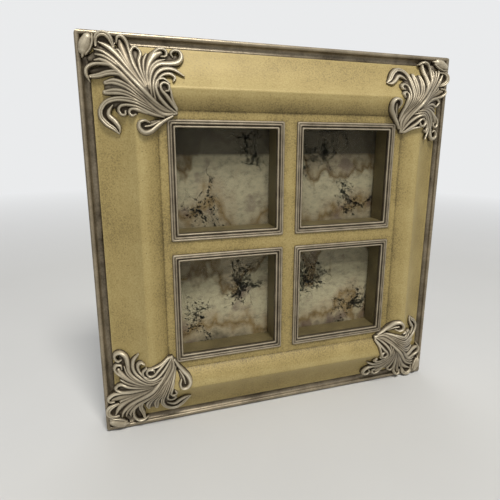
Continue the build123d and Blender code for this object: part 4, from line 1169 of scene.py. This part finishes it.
def leaf_blank(size):
    """A thin pointed leaf in the XZ plane, its stalk at the origin."""
    count = len(LEAF_OUTLINE)
    points = [(u * size, y, v * size) for y in (-RELIEF, RELIEF) for u, v in LEAF_OUTLINE]
    faces = [tuple(range(count)), tuple(range(2 * count - 1, count - 1, -1))]
    for k in range(count):
        other = (k + 1) % count
        faces.append((other, k, k + count, other + count))
    mesh = bpy.data.meshes.new("leaf_blank")
    mesh.from_pydata(points, [], faces)
    return outwards(mesh)


def foliage(name, stems, sizes, paper, seed):
    """Thicken a print's stems and set leaves along them, all in the print's own finish."""
    leaf = linked("leaf_blank", leaf_blank(sizes.leaf))
    tree = Tree(name, Leaf=leaf, Spacing=sizes.spacing, Stem_width=sizes.stem, Seed=seed,
                Finish=paper)
    curve = tree.node("GeometryNodeMeshToCurve", {"Mesh": tree.given("Geometry")})
    smooth = tree.node("GeometryNodeCurveSplineType", {"Curve": curve.outputs[0]},
                       spline_type="CATMULL_ROM")
    coarse = tree.node("GeometryNodeSetSplineResolution", {
        "Geometry": smooth.outputs[0], "Resolution": 3})
    halved = tree.node("ShaderNodeMath", (tree.given("Stem_width"), 0.5), operation="MULTIPLY")
    flat = tree.node("GeometryNodeCurvePrimitiveCircle", {
        "Resolution": 4, "Radius": halved.outputs[0]})
    stem = tree.node("GeometryNodeCurveToMesh", {
        "Curve": coarse.outputs[0], "Profile Curve": flat.outputs[0], "Fill Caps": True})
    points = tree.node("GeometryNodeCurveToPoints", {
        "Curve": coarse.outputs[0], "Length": tree.given("Spacing")}, mode="LENGTH")
    shape = tree.node("GeometryNodeObjectInfo", {"Object": tree.given("Leaf")})
    leaves = tree.node("GeometryNodeInstanceOnPoints", {
        "Points": points.outputs[0], "Instance": shape.outputs["Geometry"],
        "Rotation": tree.random((0, 0, 0), (0, 2 * math.pi, 0)),
        "Scale": tree.random((LEAST_LEAF, 1, LEAST_LEAF), (1, 1, 1))})
    joined = tree.node("GeometryNodeJoinGeometry", {0: leaves.outputs[0]})
    tree.group.links.new(stem.outputs[0], joined.inputs[0])
    tree.finish(joined.outputs[0])
    mesh = tree.bake(name, stems)
    bpy.data.objects.remove(leaf)
    return mesh


def held(value, low, high):
    """A value kept between two others."""
    return min(max(value, low), high)


def print_mesh(name, corner, sizes, paper, seed):
    """A sheet with foliage in fine relief on it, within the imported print's thickness."""
    low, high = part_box("print_" + corner)
    centre, reach = (low + high) / 2, (high.x - low.x) / 2
    face_y = low.y + SHEET_DROP
    stems = stems_mesh(name + "_stems", centre, reach * GROWN_SHARE, SPRAYS[corner], seed)
    work = bmesh.new()
    work.from_mesh(foliage(name + "_foliage", stems, sizes, paper, seed))
    for vertex in work.verts:
        vertex.co.x = held(vertex.co.x, low.x, high.x)
        vertex.co.z = held(vertex.co.z, low.z, high.z)
        vertex.co.y = face_y + held(vertex.co.y, -RELIEF, RELIEF)
    add_box(work, (centre.x, (face_y + high.y) / 2, centre.z),
            (2 * reach, high.y - face_y, 2 * reach))
    return mesh_from(name, work)


# Stage

# Each lamp's name, place, width in metres, watts and tint, and the one point that all of them face
LAMPS = (
    ("key", (0.0, -0.86, 1.50), 0.4, 24.0, (1.0, 0.98, 0.94)),
    ("fill", (-0.7, -1.2, 0.6), 1.2, 2.2, (1.0, 0.98, 0.95)),
    ("back", (0.2, 1.3, 1.0), 1.2, 6.0, (1.0, 1.0, 1.0)),
)
LAMPS_AIM = Vector((0.0, 0.0, 0.12))
# Where the table has run into white, as a multiple of the distance that it keeps its own shade
WHITE_FROM = 3
# The photograph's viewpoint: its place, its turns in degrees and the shift of its picture
CAMERA_PLACE = (-0.11575, -0.31059, 0.20676)
CAMERA_TURNS = (76.2266, -0.7985, -19.72)
CAMERA_SHIFT = (-0.05, -0.02)


def pale_table(sizes):
    """A wide pale table that runs out to the horizon."""
    half = sizes.side / 2
    points = [(x, y, -sizes.gap) for x, y in (
        (-half, -half), (half, -half), (half, half), (-half, half))]
    table = linked("table", mesh_of("table", points, [(0, 1, 2, 3)]))
    finish = Finish("table_white", Specular_IOR_Level=0.2)
    mottle = finish.grain(9.0, 4.0)
    finish.paint(finish.ramp(mottle, (0.3, times(sizes.white, 0.97)), (0.7, sizes.white)))
    finish.polish(mottle, 0.6, 0.7)
    away_into_white(finish, sizes)
    table.data.materials.append(finish.material)


def away_into_white(finish, sizes):
    """Let the far table, as the camera sees it, run into the white of the surround."""
    distance = finish.node("ShaderNodeVectorMath", (finish.place,), operation="LENGTH")
    far = finish.scaled(
        distance.outputs["Value"], sizes.clear, sizes.clear * WHITE_FROM, 0.0, 1.0)
    seen = finish.node("ShaderNodeLightPath").outputs["Is Camera Ray"]
    share = finish.math("MULTIPLY", far, seen)
    white = finish.node("ShaderNodeEmission", {
        "Color": SURROUND_TINT, "Strength": sizes.surround})
    mix = finish.node("ShaderNodeMixShader", (share, finish.shader.outputs[0], white.outputs[0]))
    finish.tree.links.new(mix.outputs[0], finish.output.inputs["Surface"])


def studio_world(context, sizes):
    """Soft even light, with a paler surround for what is seen direct, mirrored or through glass."""
    world = bpy.data.worlds.new("studio")
    context.scene.world = world
    world.use_nodes = True
    tree = world.node_tree
    tree.nodes.clear()
    path = add_node(tree, "ShaderNodeLightPath").outputs
    seen = path["Is Camera Ray"]
    for ray in ("Is Glossy Ray", "Is Transmission Ray"):
        seen = add_node(tree, "ShaderNodeMath", (seen, path[ray]), operation="MAXIMUM").outputs[0]
    strength = add_node(tree, "ShaderNodeMapRange", {
        "Value": seen, "To Min": sizes.ambient, "To Max": sizes.surround}).outputs[0]
    light = add_node(tree, "ShaderNodeBackground", {"Color": SURROUND_TINT, "Strength": strength})
    add_node(tree, "ShaderNodeOutputWorld", {"Surface": light.outputs[0]})


def lamp(name, place, width, power, tint):
    """A square lamp that faces the frame."""
    data = bpy.data.lights.new(name, "AREA")
    data.shape, data.size, data.energy, data.color = "SQUARE", width, power, tint
    made = linked(name, data)
    made.location = place
    made.rotation_euler = (LAMPS_AIM - Vector(place)).to_track_quat("-Z", "Y").to_euler()


def camera(context, sizes):
    """The photograph's viewpoint."""
    data = bpy.data.cameras.new("camera")
    data.lens, data.sensor_width = sizes.lens, 36.0
    data.shift_x, data.shift_y = CAMERA_SHIFT
    data.clip_start, data.clip_end = 0.01, 50.0
    made = linked("camera", data)
    made.location = CAMERA_PLACE
    made.rotation_euler = [math.radians(angle) for angle in CAMERA_TURNS]
    context.scene.camera = made


# Operators


def finishes(context):
    """The frame's colours."""
    return context.scene.frame_finishes


class FRAME_OT_mouldings(bpy.types.Operator):
    """Paint the mouldings and the panel gold"""
    bl_idname = "photo_frame.mouldings"
    bl_label = "Mouldings and panel"

    def execute(self, context):
        gold = gold_paint(finishes(context))
        give(gold, "window_panel", *("moulding_" + side for side in SIDES))
        return {"FINISHED"}


class FRAME_OT_rim(bpy.types.Operator):
    """Paint the rim silver over a brown wash"""
    bl_idname = "photo_frame.rim"
    bl_label = "Rim"

    def execute(self, context):
        give(rim_silver(finishes(context)), "rim_frame")
        return {"FINISHED"}


class FRAME_OT_castings(bpy.types.Operator):
    """Carve the leaf casting and set it at the four corners"""
    bl_idname = "photo_frame.castings"
    bl_label = "Corner castings"

    def execute(self, context):
        first = casting_mesh(context.scene.frame_ornament)
        first.materials.append(cast_silver(finishes(context), "pewter_ornament"))
        middle = Matrix.Translation((0, 0, MIDDLE))
        for corner, turn in CORNER_TURNS.items():
            mesh = first.copy()
            spin = Matrix.Rotation(math.radians(turn), 4, "Y")
            mesh.transform(middle @ spin @ middle.inverted())
            placed("casting_" + corner, mesh, "pewter_ornament", "ornament_" + corner)
        return {"FINISHED"}


class FRAME_OT_liners(bpy.types.Operator):
    """Set a reeded silver liner round each window"""
    bl_idname = "photo_frame.liners"
    bl_label = "Window liners"

    def execute(self, context):
        silver = cast_silver(finishes(context), "pewter_bead")
        mesh = window_liners(liner_mesh(context.scene.frame_bead), silver)
        placed("window_liners", mesh, "pewter_bead", *("bead_" + corner for corner in CORNER_TURNS))
        return {"FINISHED"}


class FRAME_OT_sleeves(bpy.types.Operator):
    """Finish the sleeves, the panes and the backing cards"""
    bl_idname = "photo_frame.sleeves"
    bl_label = "Sleeves and panes"

    def execute(self, context):
        give(olive_sleeve(finishes(context)), *("cell_" + corner for corner in CORNER_TURNS))
        give(clear_glass(), *("glass_" + corner for corner in CORNER_TURNS))
        give(grey_card(), *("card_" + corner for corner in CORNER_TURNS))
        return {"FINISHED"}


class FRAME_OT_prints(bpy.types.Operator):
    """Print soft hills on the four sheets, with foliage in fine relief"""
    bl_idname = "photo_frame.prints"
    bl_label = "Prints"

    def execute(self, context):
        sizes = context.scene.frame_print
        paper = print_paper(finishes(context))
        for seed, corner in enumerate(CORNER_TURNS, sizes.seed):
            name = "leafy_print_" + corner
            mesh = print_mesh(name, corner, sizes, paper, seed)
            mesh.materials.append(paper)
            placed(name, mesh, "print_paper", "print_" + corner)
        return {"FINISHED"}


class FRAME_OT_back(bpy.types.Operator):
    """Finish the back board, the strut and their hardware"""
    bl_idname = "photo_frame.back"
    bl_label = "Back and strut"

    def execute(self, context):
        colours = finishes(context)
        give(black_paper(colours), "back_board", "easel_leg")
        brass = plated("brassed_steel", colours.brass, 0.24, 0.40)
        give(brass, "sawtooth_hanger", "easel_bracket", "easel_leg_strap",
             *("turn_button_" + place for place in BUTTONS))
        give(plated("steel", colours.steel, 0.25, 0.42), "corner_v_nails", "easel_pin")
        give(soft_rubber(), "wall_bumpers")
        return {"FINISHED"}


class FRAME_OT_screws(bpy.types.Operator):
    """Drive slotted screws through the turn buttons and the hanger"""
    bl_idname = "photo_frame.screws"
    bl_label = "Slotted screws"

    def execute(self, context):
        sizes = context.scene.frame_screw
        for node in ("turn_button_screws", "hanger_screws"):
            fasten("slotted_", node, "frame", screw_mesh, sizes, sizes.head, sizes.rise)
        return {"FINISHED"}


class FRAME_OT_rivets(bpy.types.Operator):
    """Set domed rivets through the strut's hinge"""
    bl_idname = "photo_frame.rivets"
    bl_label = "Domed rivets"

    def execute(self, context):
        sizes = context.scene.frame_screw
        for node, body in (("easel_bracket_rivets", "frame"), ("easel_leg_rivets", "strut")):
            fasten("domed_", node, body, rivet_mesh, sizes, sizes.rivet_head, sizes.rivet_rise)
        return {"FINISHED"}


class FRAME_OT_stage(bpy.types.Operator):
    """Set the table, the lamps and the camera"""
    bl_idname = "photo_frame.stage"
    bl_label = "Stage"

    def execute(self, context):
        sizes = context.scene.frame_stage
        pale_table(sizes)
        studio_world(context, sizes)
        for settings in LAMPS:
            lamp(*settings)
        camera(context, sizes)
        context.scene.view_settings.view_transform = "Standard"
        return {"FINISHED"}


# Panel and registration


class FRAME_PT_panel(bpy.types.Panel):
    """The pieces of the photo frame"""
    bl_idname = "FRAME_PT_panel"
    bl_label = "Photo frame"
    bl_space_type = "VIEW_3D"
    bl_region_type = "UI"
    bl_category = "Photo frame"

    def draw(self, context):
        for step in STEPS:
            self.layout.operator(step.bl_idname)
        for holder in GROUPS:
            group = getattr(context.scene, holder)
            box = self.layout.box()
            for key in group.__annotations__:
                box.prop(group, key)


STEPS = (
    FRAME_OT_mouldings, FRAME_OT_rim, FRAME_OT_castings, FRAME_OT_liners, FRAME_OT_sleeves,
    FRAME_OT_prints, FRAME_OT_back, FRAME_OT_screws, FRAME_OT_rivets, FRAME_OT_stage,
)
GROUPS = {
    "frame_finishes": FrameFinishes, "frame_ornament": OrnamentSizes, "frame_bead": BeadSizes,
    "frame_print": PrintSizes, "frame_screw": ScrewSizes, "frame_stage": StageSizes,
}


def register():
    for group in (*GROUPS.values(), *STEPS, FRAME_PT_panel):
        bpy.utils.register_class(group)
    for holder, group in GROUPS.items():
        setattr(bpy.types.Scene, holder, PointerProperty(type=group))


def unregister():
    for holder in GROUPS:
        delattr(bpy.types.Scene, holder)
    for group in (FRAME_PT_panel, *reversed(STEPS), *GROUPS.values()):
        bpy.utils.unregister_class(group)


def main():
    register()
    bpy.ops.photo_frame.mouldings()
    bpy.ops.photo_frame.rim()
    bpy.ops.photo_frame.castings()
    bpy.ops.photo_frame.liners()
    bpy.ops.photo_frame.sleeves()
    bpy.ops.photo_frame.prints()
    bpy.ops.photo_frame.back()
    bpy.ops.photo_frame.screws()
    bpy.ops.photo_frame.rivets()
    bpy.ops.photo_frame.stage()


if __name__ == "__main__":
    main()
